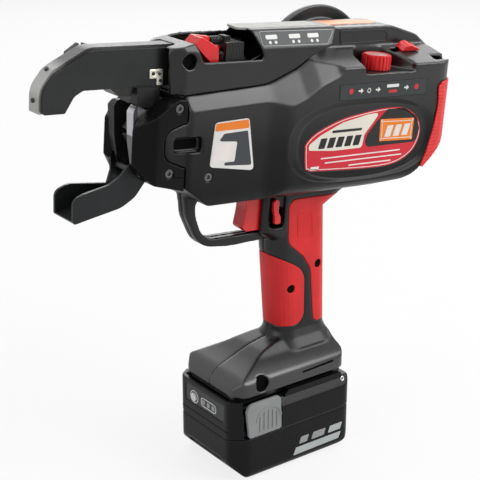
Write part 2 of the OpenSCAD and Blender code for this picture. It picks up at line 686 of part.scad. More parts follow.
// Lower channel: a bent sheet that swings down on its pin
channel_side = [[-157, -54.5, 2], [-141, -51, 20], [-122, -47, 20], [-112, -41, 14], [-104.5, -31, 4],
    [-105.5, -20.5, 5], [-117, -18.5, 5], [-124, -26.5, 8], [-132, -31, 12], [-150, -35, 4],
    [-157.5, -38, 6]];
module arm_end() {
    color(black) tilted() difference() {
        side_prism(outline(channel_side), -channel_half_w, channel_half_w);
        intersection() {
            translate([-0.35 * channel_t, 0, channel_t]) side_prism(outline(channel_side),
                channel_t - channel_half_w, channel_half_w - channel_t);
            box([-far, -far, -far], [-60, far, far]);
        }
        box([-far, channel_t - channel_half_w, -40], [-107, channel_half_w - channel_t, far]);
        box([-107.5, channel_t - channel_half_w, -30], [far, channel_half_w - channel_t, far]);
        box([-far, channel_t - channel_half_w, -52.2], [-155, channel_half_w - channel_t, far]);
        side_prism([[-150.5, -34], [-119, -36.6], [-116.5, -28], [-118, -10], [-150.5, -10]],
            channel_half_w - channel_t - 1, far);
        rod_y(pin_bore, -far, far, channel_pin[0], channel_pin[1]);
    }
}
module arm_end_pin() {
    color(steel) tilted() rod_y(channel_pin_r, -17.8, 17.8, channel_pin[0], channel_pin[1]);
}

// Gears with short, slim teeth; a tooth points along the first axis
function gear_points(teeth, pitch_r, addendum, dedendum) = [for (i = [0 : teeth - 1])
    each [for (k = [[-0.32, -dedendum], [-0.15, addendum], [0.15, addendum], [0.32, -dedendum]])
        (pitch_r + k[1]) * [cos((i + k[0]) * 360 / teeth), sin((i + k[0]) * 360 / teeth)]]];
function turned(pts, a) =
    [for (p = pts) [p[0] * cos(a) - p[1] * sin(a), p[0] * sin(a) + p[1] * cos(a)]];
sun_teeth = 12;
planet_teeth = 12;
ring_teeth = sun_teeth + 2 * planet_teeth;
sun_r = sun_teeth * gear_module / 2;
planet_r = planet_teeth * gear_module / 2;
ring_r = ring_teeth * gear_module / 2;
orbit_r = sun_r + planet_r;
tooth_up = 0.75 * gear_module;
tooth_down = 1.1 * gear_module;
gear_x = motor_front - 1.8 - planet_w;
tube_rear = motor_front - 14;
planet_pin_r = 2;
planet_angles = [90, 210, 330];

module twist_tube() {
    color([0.6, 0.6, 0.62]) tilted() difference() {
        rod_x(tube_r, tube_front, tube_rear);
        rod_x(tube_bore_r, tube_front - 1, tube_rear + 1);
    }
}
module bearing(x) {
    color(steel) tilted() difference() {
        rod_x(tube_bore_r - running_gap, x, x + 8);
        rod_x(shaft_r + running_gap, x - 1, x + 9);
    }
}
bearing_xs = [tube_front + 2, tube_rear - 15];
module bearing_front() { bearing(bearing_xs[0]); }
module bearing_rear() { bearing(bearing_xs[1]); }
hook_base = tube_front - 3;
module twist_shaft() {
    color(steel) tilted() {
        rod_x(shaft_r, hook_base, gear_x - 4);
        rod_x(tube_bore_r - 0.6, gear_x - 5, gear_x - 0.5);
        for (a = planet_angles)
            rotate([a, 0, 0]) rod_x(planet_pin_r, gear_x - 1, gear_x + planet_w, orbit_r, 0);
    }
}
hook_r = mouth_half_w - contact_t - 0.8;
jaw_side = [[hook_base - 7, 2, 0], [hook_base - 5, 2, 0], [hook_base - 5, 8, 0], [hook_base - 18, 8, 4],
    [hook_base - 22, 1.2, 1], [hook_base - 18, 1.2, 1], [hook_base - 14, 4, 2]];
module twist_hook() {
    color([0.55, 0.55, 0.56]) tilted() intersection() {
        union() {
            rod_x(hook_r, hook_base - 6, hook_base);
            for (m = [0, 1]) mirror([0, 0, m]) side_prism(outline(jaw_side), -2.2, 2.2);
        }
        rod_x(hook_r, -far, far);
    }
}
module planet_gear(k) {
    points = gear_points(planet_teeth, planet_r, tooth_up, tooth_down);
    color(brass) tilted() rotate([planet_angles[k], 0, 0]) translate([0, orbit_r, 0]) difference() {
        end_prism(turned(points, 180 / planet_teeth), gear_x, gear_x + planet_w);
        rod_x(planet_pin_r + running_gap, 0, far);
    }
}
module planet_gear_1() { planet_gear(0); }
module planet_gear_2() { planet_gear(1); }
module planet_gear_3() { planet_gear(2); }
module ring_gear() {
    color([0.6, 0.6, 0.62]) tilted() difference() {
        rod_x(ring_r + tooth_down + 2, tube_rear, motor_front);
        end_prism(gear_points(ring_teeth, -ring_r, tooth_up, tooth_down), tube_rear - 1, motor_front + 1);
    }
}
motor_shaft_r = 2.5;
can_t = 2;
module motor_rotor() {
    color([0.62, 0.5, 0.36]) tilted() {
        end_prism(gear_points(sun_teeth, sun_r, tooth_up, tooth_down), gear_x, gear_x + planet_w);
        rod_x(motor_shaft_r, gear_x + planet_w / 2, motor_front + motor_len + 3);
        rod_x(motor_r - can_t - 1, motor_front + 8, motor_front + motor_len - 10);
    }
}
module motor_can() {
    color([0.25, 0.25, 0.27]) tilted() difference() {
        rod_x(motor_r, motor_front, motor_front + motor_len);
        rod_x(motor_r - can_t, motor_front + can_t, motor_front + motor_len - can_t);
        rod_x(motor_shaft_r + running_gap, 0, far);
    }
}

// Wire feed
roller_x = -62;
drive_z = wire_z - roller_r - 0.3;
idler_z = wire_z + roller_r + 0.3;
feed_teeth = 30;
pinion_teeth = 10;
feed_module = 1;
feed_gear_r = feed_teeth * feed_module / 2;
pinion_r = pinion_teeth * feed_module / 2;
motor_rise = 4;
feed_motor_x = roller_x + sqrt(pow(feed_gear_r + pinion_r, 2) - motor_rise * motor_rise);
feed_motor_z = drive_z + motor_rise;
mesh_angle = atan2(motor_rise, feed_motor_x - roller_x);
frame_wall = [7, 10];
gear_y = [frame_wall[1] + 0.6, frame_wall[1] + 4.6];
drive_shaft_r = 2;
feed_shaft_r = 1.5;
lever_pin_r = 2;
lever_pin_at = [-52.5, 51];
lever_y = [-9, -5.2];
block_near = lever_y[1] + slide_gap;
lever_face = -58;
block_face = -47;
spring_z = 57.2;
module feed_frame() {
    color([0.45, 0.45, 0.46]) tilted() difference() {
        union() {
            box([wall + 0.2 - housing_front, -13, feed_floor], [-21, frame_wall[1], feed_floor + 3.5]);
            box([-79.6, frame_wall[0], feed_floor + 3], [-21, frame_wall[1], 55]);
            box([wall + 0.2 - housing_front, block_near, feed_floor + 3], [-72, frame_wall[0] + 1, 54]);
            box([arm_rear, block_near, 26], [-72, frame_wall[0] + 1, 54]);
            box([block_face, -19.5, feed_motor_z + feed_motor_r + 0.4], [-38, frame_wall[0] + 1, 57.5]);
            box([block_face, -11, 56], [block_face + 4, -3, 60.2]);
            box([-52, -19.5, 44.5], [-38, -16.4, 57.5]);
        }
        rod_x(1.5, -far, 0, 0, wire_z);
        rod_y(drive_shaft_r + running_gap, 0, far, roller_x, drive_z);
        rod_y(feed_shaft_r + 0.5, 0, far, feed_motor_x, feed_motor_z);
        rod_y(lever_pin_r + running_gap, 0, far, lever_pin_at[0], lever_pin_at[1]);
    }
}
module feed_motor() {
    color([0.55, 0.55, 0.57]) tilted() difference() {
        rod_y(feed_motor_r, -16, frame_wall[0], feed_motor_x, feed_motor_z);
        rod_y(feed_shaft_r + running_gap, -6, far, feed_motor_x, feed_motor_z);
    }
}
module feed_pinion() {
    points = gear_points(pinion_teeth, pinion_r, tooth_up, tooth_down);
    color(brass) tilted() {
        translate([feed_motor_x, 0, feed_motor_z])
            side_prism(turned(points, mesh_angle + 180), gear_y[0], gear_y[1]);
        rod_y(feed_shaft_r, -4, gear_y[1], feed_motor_x, feed_motor_z);
    }
}
module feed_gear() {
    points = gear_points(feed_teeth, feed_gear_r, tooth_up, tooth_down);
    color(brass) tilted() difference() {
        translate([roller_x, 0, drive_z])
            side_prism(turned(points, mesh_angle + 180 / feed_teeth), gear_y[0], gear_y[1]);
        rod_y(drive_shaft_r, -far, far, roller_x, drive_z);
    }
}
module roller_body(z) {
    difference() {
        rod_y(roller_r, -4, 4, roller_x, z);
        translate([roller_x, 0, z]) rotate([90, 0, 0]) rotate_extrude()
            translate([roller_r, 0]) circle(r = 0.8, $fn = 24);
    }
}
module drive_roller() {
    color(steel) tilted() {
        roller_body(drive_z);
        rod_y(drive_shaft_r, -4, gear_y[1] + 1, roller_x, drive_z);
    }
}
module idler_roller() {
    color(steel) tilted() difference() {
        roller_body(idler_z);
        rod_y(drive_shaft_r + running_gap, -far, far, roller_x, idler_z);
    }
}
lever_side = [[-76, 56.5, 1.5], [-66.5, 42.5, 2], [-58, 42.5, 2], [-55.5, 47.6, 1.5], [-49.1, 47.6, 3.2],
    [-49.1, 54.3, 2], [lever_face, 54.3, 0], [lever_face, 60.2, 1], [-71, 61.8, 1.5]];
tab_side = [[-76, 56.5, 1.5], [-63, 44.5, 1.5], [-57, 44.5, 1.5], [-57.5, 54.5, 1.5], [-71, 61.8, 1.5]];
module release_lever() {
    color(red) tilted() difference() {
        union() {
            side_prism(outline(lever_side), lever_y[0], lever_y[1]);
            side_prism(outline(tab_side), -19, lever_y[0] + 1);
            rod_y(drive_shaft_r, lever_y[0] + 1, 5, roller_x, idler_z);
        }
        rod_y(lever_pin_r + running_gap, -far, far, lever_pin_at[0], lever_pin_at[1]);
    }
}
module lever_pin() {
    color(steel) tilted()
        rod_y(lever_pin_r, lever_y[0] - 0.6, frame_wall[1], lever_pin_at[0], lever_pin_at[1]);
}
// Release spring: one helical tube with straight ends, from the lever to the block
spring_rings = 8 * spring_turns;
spring_len = block_face - lever_face - 0.6;
spring_lead = 2 * spring_wire_r;
spring_pitch = (spring_len - 2 * spring_lead) / spring_turns;
function spring_mid(i) = let (a = 360 * i / 8) [lever_face + 0.3 + spring_lead + spring_pitch * i / 8,
    spring_r * cos(a), spring_r * sin(a)];
spring_path = concat([[lever_face + 0.3, spring_r, 0]], [for (i = [0 : spring_rings]) spring_mid(i)],
    [[block_face - 0.3, spring_r, 0]]);
function ring_at(p, t) = let (n = unit(cross(t, [0, p[1], p[2]])), m = cross(n, t))
    [for (k = [0 : 5]) p + spring_wire_r * (cos(60 * k) * n + sin(60 * k) * m)];
function tangent(path, i) = i == 0 || i == len(path) - 1 ? [1, 0, 0] : unit(path[i + 1] - path[i - 1]);
spring_points = [for (i = [0 : len(spring_path) - 1])
    each ring_at(spring_path[i], tangent(spring_path, i))];
spring_self_gap = min([for (i = [0 : len(spring_path) - 1], j = [0 : len(spring_path) - 1])
    if (j > i + 6) norm(spring_path[i] - spring_path[j])]) - 2 * spring_wire_r;
echo(release_spring_least_self_gap_mm = spring_self_gap);
last_ring = len(spring_points) - 6;
spring_faces = concat([[0, 1, 2], [0, 2, 3], [0, 3, 4], [0, 4, 5]],
    [for (i = [0 : len(spring_path) - 2], k = [0 : 5]) each let (a = 6 * i + k, b = 6 * i + (k + 1) % 6)
        [[a, a + 6, b + 6], [a, b + 6, b]]],
    [for (k = [1 : 4]) [last_ring, last_ring + k + 1, last_ring + k]]);
module release_spring() {
    color(steel) tilted() translate([0, -7.1, spring_z]) polyhedron(spring_points, spring_faces);
}

// Wire reel, on the far side
case_bore = case_r - wall;
reel_r = case_bore - reel_clear;
wire_pack_r = reel_r - flange_rise;
reel_near = case_near + wall + 0.8;
reel_w = case_depth - wall - 6.5;
flange_t = 2;
hub_r = axle_r + 6;
plate_near = body_half_w + 0.2;
module reel_case() {
    color(charcoal) tilted() difference() {
        union() {
            rod_y(case_r, case_near, case_near + case_depth, reel_x, reel_z);
            rod_y(guard_plate_r, plate_near, plate_near + guard_plate_t, reel_x, reel_z);
        }
        rod_y(case_bore, case_near + wall, far, reel_x, reel_z);
        rod_y(case_bore - 4, -far, case_near + 1, reel_x, reel_z);
    }
}
module reel() {
    color([0.2, 0.2, 0.21]) tilted() difference() {
        union() {
            rod_y(hub_r, reel_near, reel_near + reel_w, reel_x, reel_z);
            for (y = [reel_near, reel_near + reel_w - flange_t])
                rod_y(reel_r, y, y + flange_t, reel_x, reel_z);
        }
        rod_y(axle_r + running_gap, -far, far, reel_x, reel_z);
    }
}
module wire_coil() {
    color([0.4, 0.4, 0.41]) tilted() difference() {
        rod_y(wire_pack_r, reel_near + flange_t, reel_near + reel_w - flange_t, reel_x, reel_z);
        rod_y(hub_r, -far, far, reel_x, reel_z);
    }
}
axle_end = reel_near + reel_w + 0.4;
module reel_axle() {
    color(steel) tilted() rod_y(axle_r, case_near + wall, axle_end, reel_x, reel_z);
}
module reel_cap() {
    color(red) tilted() {
        rod_y(axle_r + 5, axle_end, axle_end + 2.5, reel_x, reel_z);
        box([reel_x - 9, axle_end + 2, reel_z - 1.5], [reel_x + 9, axle_end + 5, reel_z + 1.5]);
    }
}
module reel_stop() {
    color(red) tilted() on_deck() {
        translate([0, stop_y, 0]) side_prism(outline([[stop_x[0] - 2, 0.4, 0], [stop_x[1] + 2, 0.4, 0],
            [stop_x[1] + 2, 1.6, 0.6], [stop_x[0] + 5, 5, 1.5], [stop_x[0] + 1, 4.2, 1.5]]), -4.2, 4.2);
        box([stop_x[0] + 1, stop_y - stop_half_w, -wall - 3], [stop_x[1] - 4, stop_y + stop_half_w, 1]);
        box([stop_x[0] + 1, stop_y - 4, -wall - 4], [stop_x[1] - 4, stop_y + 4, -wall - 1.4]);
    }
}

// Trigger, lock and electronics
trigger_top = -body_depth - 1;
trigger_side = [[-1, -78.8, 2], [-1, trigger_top, 0], [-17, trigger_top, 2], [-15.4, -62, 24],
    [-17.8, -76, 2.5], [-14.5, -78.8, 2.5]];
stem_end = 4;
switch_front = stem_end + trigger_travel + 1.5;
function reversed(pts) = [for (i = [len(pts) - 1 : -1 : 0]) pts[i]];
module trigger() {
    color(red) tilted() {
        side_prism(outline(reversed(trigger_side)), -trigger_half_w, trigger_half_w);
        box([-2, -5, -74], [stem_end, 5, -56]);
    }
}
module trigger_switch() {
    color(black) tilted() {
        box([switch_front, wall - grip_half_w, -76], [switch_front + 24, grip_half_w - wall, -54]);
    }
}
lock_pin_at = [4.4, -57.4];
lock_pin_r = 1.5;
lock_y = [-grip_half_w - 1.2, -grip_half_w + 1.6];
module lock_lever() {
    color(red) tilted() difference() {
        side_prism(outline([[4.2, -73.4, 1], [9.4, -73.4, 1.6], [9, -68.4, 2], [6.6, -64.4, 3], [7, -57, 2],
            [4.4, -54.6, 1.4], [1.9, -57.2, 2], [2.2, -63, 4], [3.6, -67.5, 4]]), lock_y[0], lock_y[1]);
        rod_y(lock_pin_r + running_gap, lock_y[0] + 0.8, far, lock_pin_at[0], lock_pin_at[1]);
    }
}
module lock_pin() {
    color(steel) tilted()
        rod_y(lock_pin_r, lock_y[0] + 1.1, wall - grip_half_w + 2, lock_pin_at[0], lock_pin_at[1]);
}
module torque_dial() {
    color(red) tilted() {
        translate([dial_at[0], dial_at[1], 0]) plan_prism(gear_points(dial_ribs, dial_r - 0.8, 0.8, 0),
            dial_floor + 0.4, dial_floor + dial_h);
        rod_z(3, dial_floor - 8, dial_floor + 1, dial_at[0], dial_at[1]);
    }
}
module control_board() {
    color([0.1, 0.35, 0.2]) tilted()
        box([board[0][0], -board_face, board[0][1]], [board[1][0], 1.6 - board_face, board[1][1]]);
}

// Battery
tray_plan = mirrored([[-battery_half_l, -29.5, 6], [-42, -battery_half_w, 9],
    [battery_half_l, -battery_half_w, 7]]);
battery_side = [[-41, 0, 14], [battery_half_l, 0, 14], [battery_half_l, far, 0], [-battery_half_l, far, 0],
    [-battery_half_l, 13.5, 8]];
// The sides lean in above their upright part
side_lean_in = 4.4;
battery_section = [[-battery_half_w, 0, 7], [battery_half_w, 0, 7], [battery_half_w, battery_side_h, 2],
    [battery_half_w - side_lean_in, battery_h, 1.5], [side_lean_in - battery_half_w, battery_h, 1.5],
    [-battery_half_w, battery_side_h, 2]];
front_wall_top = 63;
latch_x = [-44, -44 + latch_w];
latch_z = [tray_h + 0.6, 61];
module battery_block(w) {
    intersection() {
        plan_prism(outline(inset(tray_plan, w)), w, far);
        end_prism(outline(inset(battery_section, w)), -far, far);
        side_prism(outline(inset(battery_side, w)), -far, far);
    }
}
module battery_tray() {
    color(black) difference() {
        intersection() {
            battery_block(0);
            box([-far, -far, -1], [far, far, tray_h]);
        }
        battery_block(wall);
        side_prism(outline([[-far, -1, 0], [4 - battery_half_l, -1, 0], [4 - battery_half_l, 13, 2],
            [-battery_half_l - 0.7, 16, 0], [-far, 16, 0]]), -19, 22);
    }
}
module latch_pocket(w) {
    side_prism(outline([[latch_x[0] - w, latch_z[0] - w, 2], [latch_x[1] + w, latch_z[0] - w, 2],
        [latch_x[1] + w, 90, 0], [latch_x[0] - w, 90, 0]]), -far,
        latch_travel + latch_t + w - battery_half_w);
}
blade_ys = [-12, 0, 12];
cell_gap = 0.4;
cell_pitch = 2 * cell_r + cell_gap;
cell_row_h = cell_pitch * sqrt(3) / 2;
// Underside of the lower cells, clear of the tray's rounded edges
cell_floor = wall + 0.8;
cell_top = cell_floor + 2 * cell_r + cell_row_h;
cell_bay_half_l = 2.25 * cell_pitch + 0.5;
module battery_top() {
    color(black) difference() {
        union() {
            intersection() {
                battery_block(0);
                box([-far, -far, tray_h], [far, far, far]);
            }
            // Front wall that rises past the foot, with the corners down to the latches
            difference() {
                plan_prism(outline(tray_plan), tray_h, front_wall_top);
                box([-foot_half_l - slide_gap, -skirt_half_w - slide_gap, 0],
                    [far, skirt_half_w + slide_gap, far]);
                box([latch_x[0] - 1, -far, 0], [far, far, far]);
            }
            intersection() {
                rail_slot(0);
                box([-foot_half_l + 1, -far, battery_h - 3], [far, far, far]);
            }
        }
        difference() {
            intersection() {
                battery_block(wall);
                box([-far, -far, 0], [far, far, battery_h - wall]);
            }
            both_sides() latch_pocket(wall);
        }
        // Room for the ends of the upper cells behind the latches
        box([-cell_bay_half_l, -cell_len / 2 - slide_gap, 0],
            [cell_bay_half_l, cell_len / 2 + slide_gap, cell_top + slide_gap]);
        both_sides() latch_pocket(slide_gap);
        for (y = blade_ys)
            box([rail_rear - 10, y - 1.2, battery_h + 1.5], [far, y + 1.2, rail_top - 0.8]);
        rod_x(button_r + slide_gap, -far, button_x + 5, button_at[0], button_at[1]);
        box([-far, -24, 45], [0.5 - battery_half_l, 24, 59]);
    }
}
button_r = 3.2;
button_x = -battery_half_l - 0.7;
button_at = [13, 51];
module battery_cells() {
    color([0.3, 0.5, 0.7]) for (row = [0, 1], i = [0 : 3])
        rod_y(cell_r, -cell_len / 2, cell_len / 2, (i - 1.5 + (row - 0.5) / 2) * cell_pitch,
            cell_floor + cell_r + row * cell_row_h);
}
latch_t = 2.6;
latch_proud = 0.4;
module latch(side) {
    color([0.62, 0.63, 0.64]) mirror([0, side > 0 ? 1 : 0, 0]) {
        side_prism(outline([[latch_x[0] + 3, latch_z[0], 2], [latch_x[1], latch_z[0], 2],
            [latch_x[1] - 1, latch_z[1], 4], [latch_x[0], latch_z[1], 6]]),
            -battery_half_w - latch_proud, latch_t - latch_proud - battery_half_w);
    }
}
module latch_left() { latch(-1); }
module latch_right() { latch(1); }
module terminal_block() {
    color(black) {
        box([rail_rear + 3, -18, battery_h + 1.4], [rail_rear + 10, 18, rail_top + slide_gap]);
        for (y = blade_ys)
            box([rail_rear - 7, y - 0.5, battery_h + 2.4], [rail_rear + 4, y + 0.5, rail_top - 1.8]);
    }
}
module charge_button() {
    color([0.6, 0.6, 0.62]) rod_x(button_r, button_x, button_x + 4.6, button_at[0], button_at[1]);
}

housing_left();
housing_right();
top_cover();
nose_cover();
grip_front_pad();
grip_rear_pad();
rear_bumper();
housing_screws();
nose_screws();
arm_core();
arm_plate_left();
arm_plate_right();
arm_bumper();
curl_liner();
arm_bracket();
arm_screws();
cutter_block();
contact_plate_left();
contact_plate_right();
arm_end();
arm_end_pin();
twist_tube();
bearing_front();
bearing_rear();
twist_shaft();
twist_hook();
planet_gear_1();
planet_gear_2();
planet_gear_3();
ring_gear();
motor_rotor();
motor_can();
feed_frame();
feed_motor();
feed_pinion();
feed_gear();
drive_roller();
idler_roller();
release_lever();
lever_pin();
release_spring();
reel_case();
reel();
wire_coil();
reel_axle();
reel_cap();
reel_stop();
trigger();
trigger_switch();
lock_lever();
lock_pin();
torque_dial();
control_board();
battery_tray();
battery_top();
battery_cells();
latch_left();
latch_right();
terminal_block();
charge_button();
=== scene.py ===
import math
import bmesh
import bpy
from mathutils import Matrix, Vector


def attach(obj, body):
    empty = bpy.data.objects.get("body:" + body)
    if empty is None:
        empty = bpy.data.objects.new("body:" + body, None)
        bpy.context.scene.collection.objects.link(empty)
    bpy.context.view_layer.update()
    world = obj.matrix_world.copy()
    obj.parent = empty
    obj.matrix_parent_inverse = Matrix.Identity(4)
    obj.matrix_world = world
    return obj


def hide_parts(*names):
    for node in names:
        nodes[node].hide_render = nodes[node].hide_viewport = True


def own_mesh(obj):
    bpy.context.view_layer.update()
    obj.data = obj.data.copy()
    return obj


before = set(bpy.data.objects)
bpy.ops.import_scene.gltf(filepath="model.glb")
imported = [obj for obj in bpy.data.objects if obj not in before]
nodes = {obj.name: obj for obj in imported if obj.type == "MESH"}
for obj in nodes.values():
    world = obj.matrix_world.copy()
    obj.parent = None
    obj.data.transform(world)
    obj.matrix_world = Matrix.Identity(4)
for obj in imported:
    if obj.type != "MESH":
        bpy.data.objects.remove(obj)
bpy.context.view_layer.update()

scene = bpy.context.scene
scene.view_settings.view_transform = "Standard"

# Camera at the photograph's place
YAW = math.radians(36.4)
PITCH = math.radians(20.6)
EYE = Vector((-0.53415, -0.69476, 0.49445))
FOCAL_PIXELS = 1310.0
PHOTO_PIXELS = 480.0
SENSOR_WIDTH = 36.0
right = Vector((math.cos(YAW), -math.sin(YAW), 0))
look = Vector((math.sin(YAW) * math.cos(PITCH), math.cos(YAW) * math.cos(PITCH), -math.sin(PITCH)))
up = right.cross(look)
cam_data = bpy.data.cameras.new("photo_camera")
cam_data.sensor_fit = "HORIZONTAL"
cam_data.sensor_width = SENSOR_WIDTH
cam_data.lens = FOCAL_PIXELS / PHOTO_PIXELS * SENSOR_WIDTH
cam_data.clip_end = 20.0
cam = bpy.data.objects.new("photo_camera", cam_data)
basis = Matrix((right, up, -look)).transposed().to_4x4()
basis.translation = EYE
cam.matrix_world = basis
scene.collection.objects.link(cam)
scene.camera = cam

# The tilted body frame of the solids and the frame of the base, millimetres to metres
TILT = math.radians(5)
AXIS_HEIGHT = 255


def body_point(x, y, z):
    c, s = math.cos(TILT), math.sin(TILT)
    return Vector((x * c + z * s, y, AXIS_HEIGHT - x * s + z * c)) / 1000


def base_point(x, y, z):
    return Vector((x, y, z)) / 1000


# Materials: every one is built from nodes
class Shade:
    def __init__(self, name):
        self.mat = bpy.data.materials.new(name)
        self.mat.use_nodes = True
        self.tree = self.mat.node_tree
        self.bsdf = self.tree.nodes["Principled BSDF"]
        self.coord = self.add("ShaderNodeTexCoord").outputs["Object"]

    def add(self, kind, **values):
        node = self.tree.nodes.new(kind)
        for key, value in values.items():
            if hasattr(node, key):
                setattr(node, key, value)
            else:
                node.inputs[key.replace("_", " ")].default_value = value
        return node

    def link(self, a, b):
        self.tree.links.new(a, b)

    def noise(self, scale, detail=3.0, rough=0.55, stretch=None):
        tex = self.add("ShaderNodeTexNoise", Scale=scale, Detail=detail, Roughness=rough)
        vec = self.coord
        if stretch:
            mapping = self.add("ShaderNodeMapping")
            mapping.inputs["Scale"].default_value = stretch
            self.link(vec, mapping.inputs["Vector"])
            vec = mapping.outputs["Vector"]
        self.link(vec, tex.inputs["Vector"])
        return tex.outputs["Fac"]

    def ramp(self, fac, low, high, start=0.3, end=0.7):
        return self.stops(fac, [(start, low), (end, high)])

    def stops(self, fac, stops):
        node = self.add("ShaderNodeValToRGB")
        marks = node.color_ramp.elements
        while len(marks) < len(stops):
            marks.new(0.5)
        for mark, (place, color) in zip(marks, stops):
            mark.position = place
            mark.color = (*color, 1)
        self.link(fac, node.inputs["Fac"])
        return node.outputs["Color"]

    def range(self, fac, low, high, start=0.0, end=1.0, smooth=False):
        node = self.add("ShaderNodeMapRange")
        if smooth:
            node.interpolation_type = "SMOOTHSTEP"
        node.inputs["From Min"].default_value = start
        node.inputs["From Max"].default_value = end
        node.inputs["To Min"].default_value = low
        node.inputs["To Max"].default_value = high
        self.link(fac, node.inputs["Value"])
        return node.outputs["Result"]

    def math(self, op, a, b=None):
        node = self.add("ShaderNodeMath", operation=op)
        for socket, value in zip(node.inputs, (a, b)):
            if value is None:
                continue
            if isinstance(value, (int, float)):
                socket.default_value = value
            else:
                self.link(value, socket)
        return node.outputs["Value"]

    def body_axes(self):
        """Coordinates of the tilted body frame, in metres."""
        mapping = self.add("ShaderNodeMapping", vector_type="TEXTURE")
        mapping.inputs["Location"].default_value = (0, 0, AXIS_HEIGHT / 1000)
        mapping.inputs["Rotation"].default_value = (0, TILT, 0)
        self.link(self.coord, mapping.inputs["Vector"])
        split = self.add("ShaderNodeSeparateXYZ")
        self.link(mapping.outputs["Vector"], split.inputs["Vector"])
        return split.outputs

    def tint(self, a, b, fac):
        node = self.add("ShaderNodeMix", data_type="RGBA")
        self.link(fac, node.inputs[0])
        for socket, value in ((node.inputs[6], a), (node.inputs[7], b)):
            if isinstance(value, tuple):
                socket.default_value = (*value, 1)
            else:
                self.link(value, socket)
        return node.outputs[2]

    def bump(self, heights):
        normal = None
        for fac, strength, distance in heights:
            node = self.add("ShaderNodeBump")
            node.inputs["Strength"].default_value = strength
            node.inputs["Distance"].default_value = distance
            self.link(fac, node.inputs["Height"])
            if normal:
                self.link(normal, node.inputs["Normal"])
            normal = node.outputs["Normal"]
        self.link(normal, self.bsdf.inputs["Normal"])

    def set(self, **values):
        for key, value in values.items():
            self.bsdf.inputs[key.replace("_", " ")].default_value = value


def scaled(color, k):
    return tuple(min(1.0, c * k) for c in color)


def speckled(s, scale, color, low, high):
    s.link(s.ramp(s.noise(scale, 4), scaled(color, low), scaled(color, high)), s.bsdf.inputs["Base Color"])


def plastic(name, color, rough, grain=0.25, spread=0.14, specular=0.3, dish=None, painted_sheen=None):
    s = Shade(name)
    speckled(s, 45, color, 1 - spread, 1 + spread)
    s.link(s.range(s.noise(240, 3), rough - 0.05, rough + 0.06), s.bsdf.inputs["Roughness"])
    heights = [(s.noise(2600, 2), grain, 0.00012), (s.noise(120, 2), grain * 0.25, 0.00012)]
    if dish:
        x0, z0, a, b, depth = dish
        axes = s.body_axes()
        u = s.math("ABSOLUTE", s.math("DIVIDE", s.math("SUBTRACT", axes["X"], x0), a))
        v = s.math("ABSOLUTE", s.math("DIVIDE", s.math("SUBTRACT", axes["Z"], z0), b))
        reach = s.math("ADD", s.math("POWER", u, 2.6), s.math("POWER", v, 2.6))
        heights.append((s.range(reach, 0.0, 1.0, 0.8, 1.25, True), 1.0, depth))
    s.bump(heights)
    # Specular level by height in the body frame: painted shade low down, painted sheen higher up
    if painted_sheen:
        low, high = painted_sheen[0][0], painted_sheen[-1][0]
        height = s.range(s.body_axes()["Z"], 0.0, 1.0, low, high)
        painted_sheen_levels = [((z - low) / (high - low), (k, k, k)) for z, k in painted_sheen]
        s.link(s.stops(height, painted_sheen_levels), s.bsdf.inputs["Specular IOR Level"])
    else:
        s.set(Specular_IOR_Level=specular)
    return s.mat


def rubber(name, color, rough, ribs=0):
    s = Shade(name)
    speckled(s, 60, color, 0.88, 1.08)
    s.link(s.range(s.noise(420, 3), rough - 0.06, rough + 0.07), s.bsdf.inputs["Roughness"])
    dots = s.add("ShaderNodeTexVoronoi", Scale=1500)
    s.link(s.coord, dots.inputs["Vector"])
    heights = [(dots.outputs["Distance"], 0.22, 0.00015), (s.noise(3000, 2), 0.12, 0.00015)]
    if ribs:
        wave = s.math("SINE", s.math("MULTIPLY", s.body_axes()["Z"], ribs))
        heights.append((wave, 0.5, 0.0004))
    s.bump(heights)
    s.set(Specular_IOR_Level=0.36)
    return s.mat


def metal(name, color, rough, stretch=(40, 900, 900), brush=0.15, spread=0.15, metallic=1.0):
    s = Shade(name)
    lines = s.noise(1, 4, 0.6, stretch)
    s.link(s.ramp(lines, scaled(color, 1 - spread), scaled(color, 1 + spread)),
           s.bsdf.inputs["Base Color"])
    s.link(s.range(s.noise(150, 3), rough - 0.06, rough + 0.08), s.bsdf.inputs["Roughness"])
    s.bump([(lines, brush, 0.00008), (s.noise(1800, 2), brush * 0.5, 0.00008)])
    s.set(Metallic=metallic)
    return s.mat


def split_metal(name, axis, stops, low, high, rough):
    """Metal whose grey changes along one axis of the body frame: bare steel at the arm core's tip, and a
    painted reflection on the contact plate's upper half.
    """
    s = Shade(name)
    along = s.range(s.body_axes()[axis], 0.0, 1.0, low, high)
    lines = s.noise(1, 4, 0.6, (60, 900, 900))
    s.link(s.tint(s.stops(along, stops), (0.02, 0.02, 0.02), s.range(lines, 0.0, 0.35)),
           s.bsdf.inputs["Base Color"])
    s.link(s.range(s.noise(150, 3), rough - 0.06, rough + 0.08), s.bsdf.inputs["Roughness"])
    s.bump([(lines, 0.12, 0.00008), (s.noise(1800, 2), 0.08, 0.00008)])
    s.set(Metallic=1.0)
    return s.mat


def ribbed(name, low, high, pitch):
    """Dark moulding with fine ribs along the body, with a painted highlight on their crests."""
    s = Shade(name)
    wave = s.math("SINE", s.math("MULTIPLY", s.body_axes()["X"], pitch))
    s.link(s.tint(low, high, s.range(wave, 0.0, 1.0, 0.2, 1.0)), s.bsdf.inputs["Base Color"])
    s.link(s.range(s.noise(300, 3), 0.3, 0.45), s.bsdf.inputs["Roughness"])
    s.bump([(wave, 0.6, 0.0004), (s.noise(1500, 2), 0.2, 0.0001)])
    s.set(Specular_IOR_Level=0.3)
    return s.mat


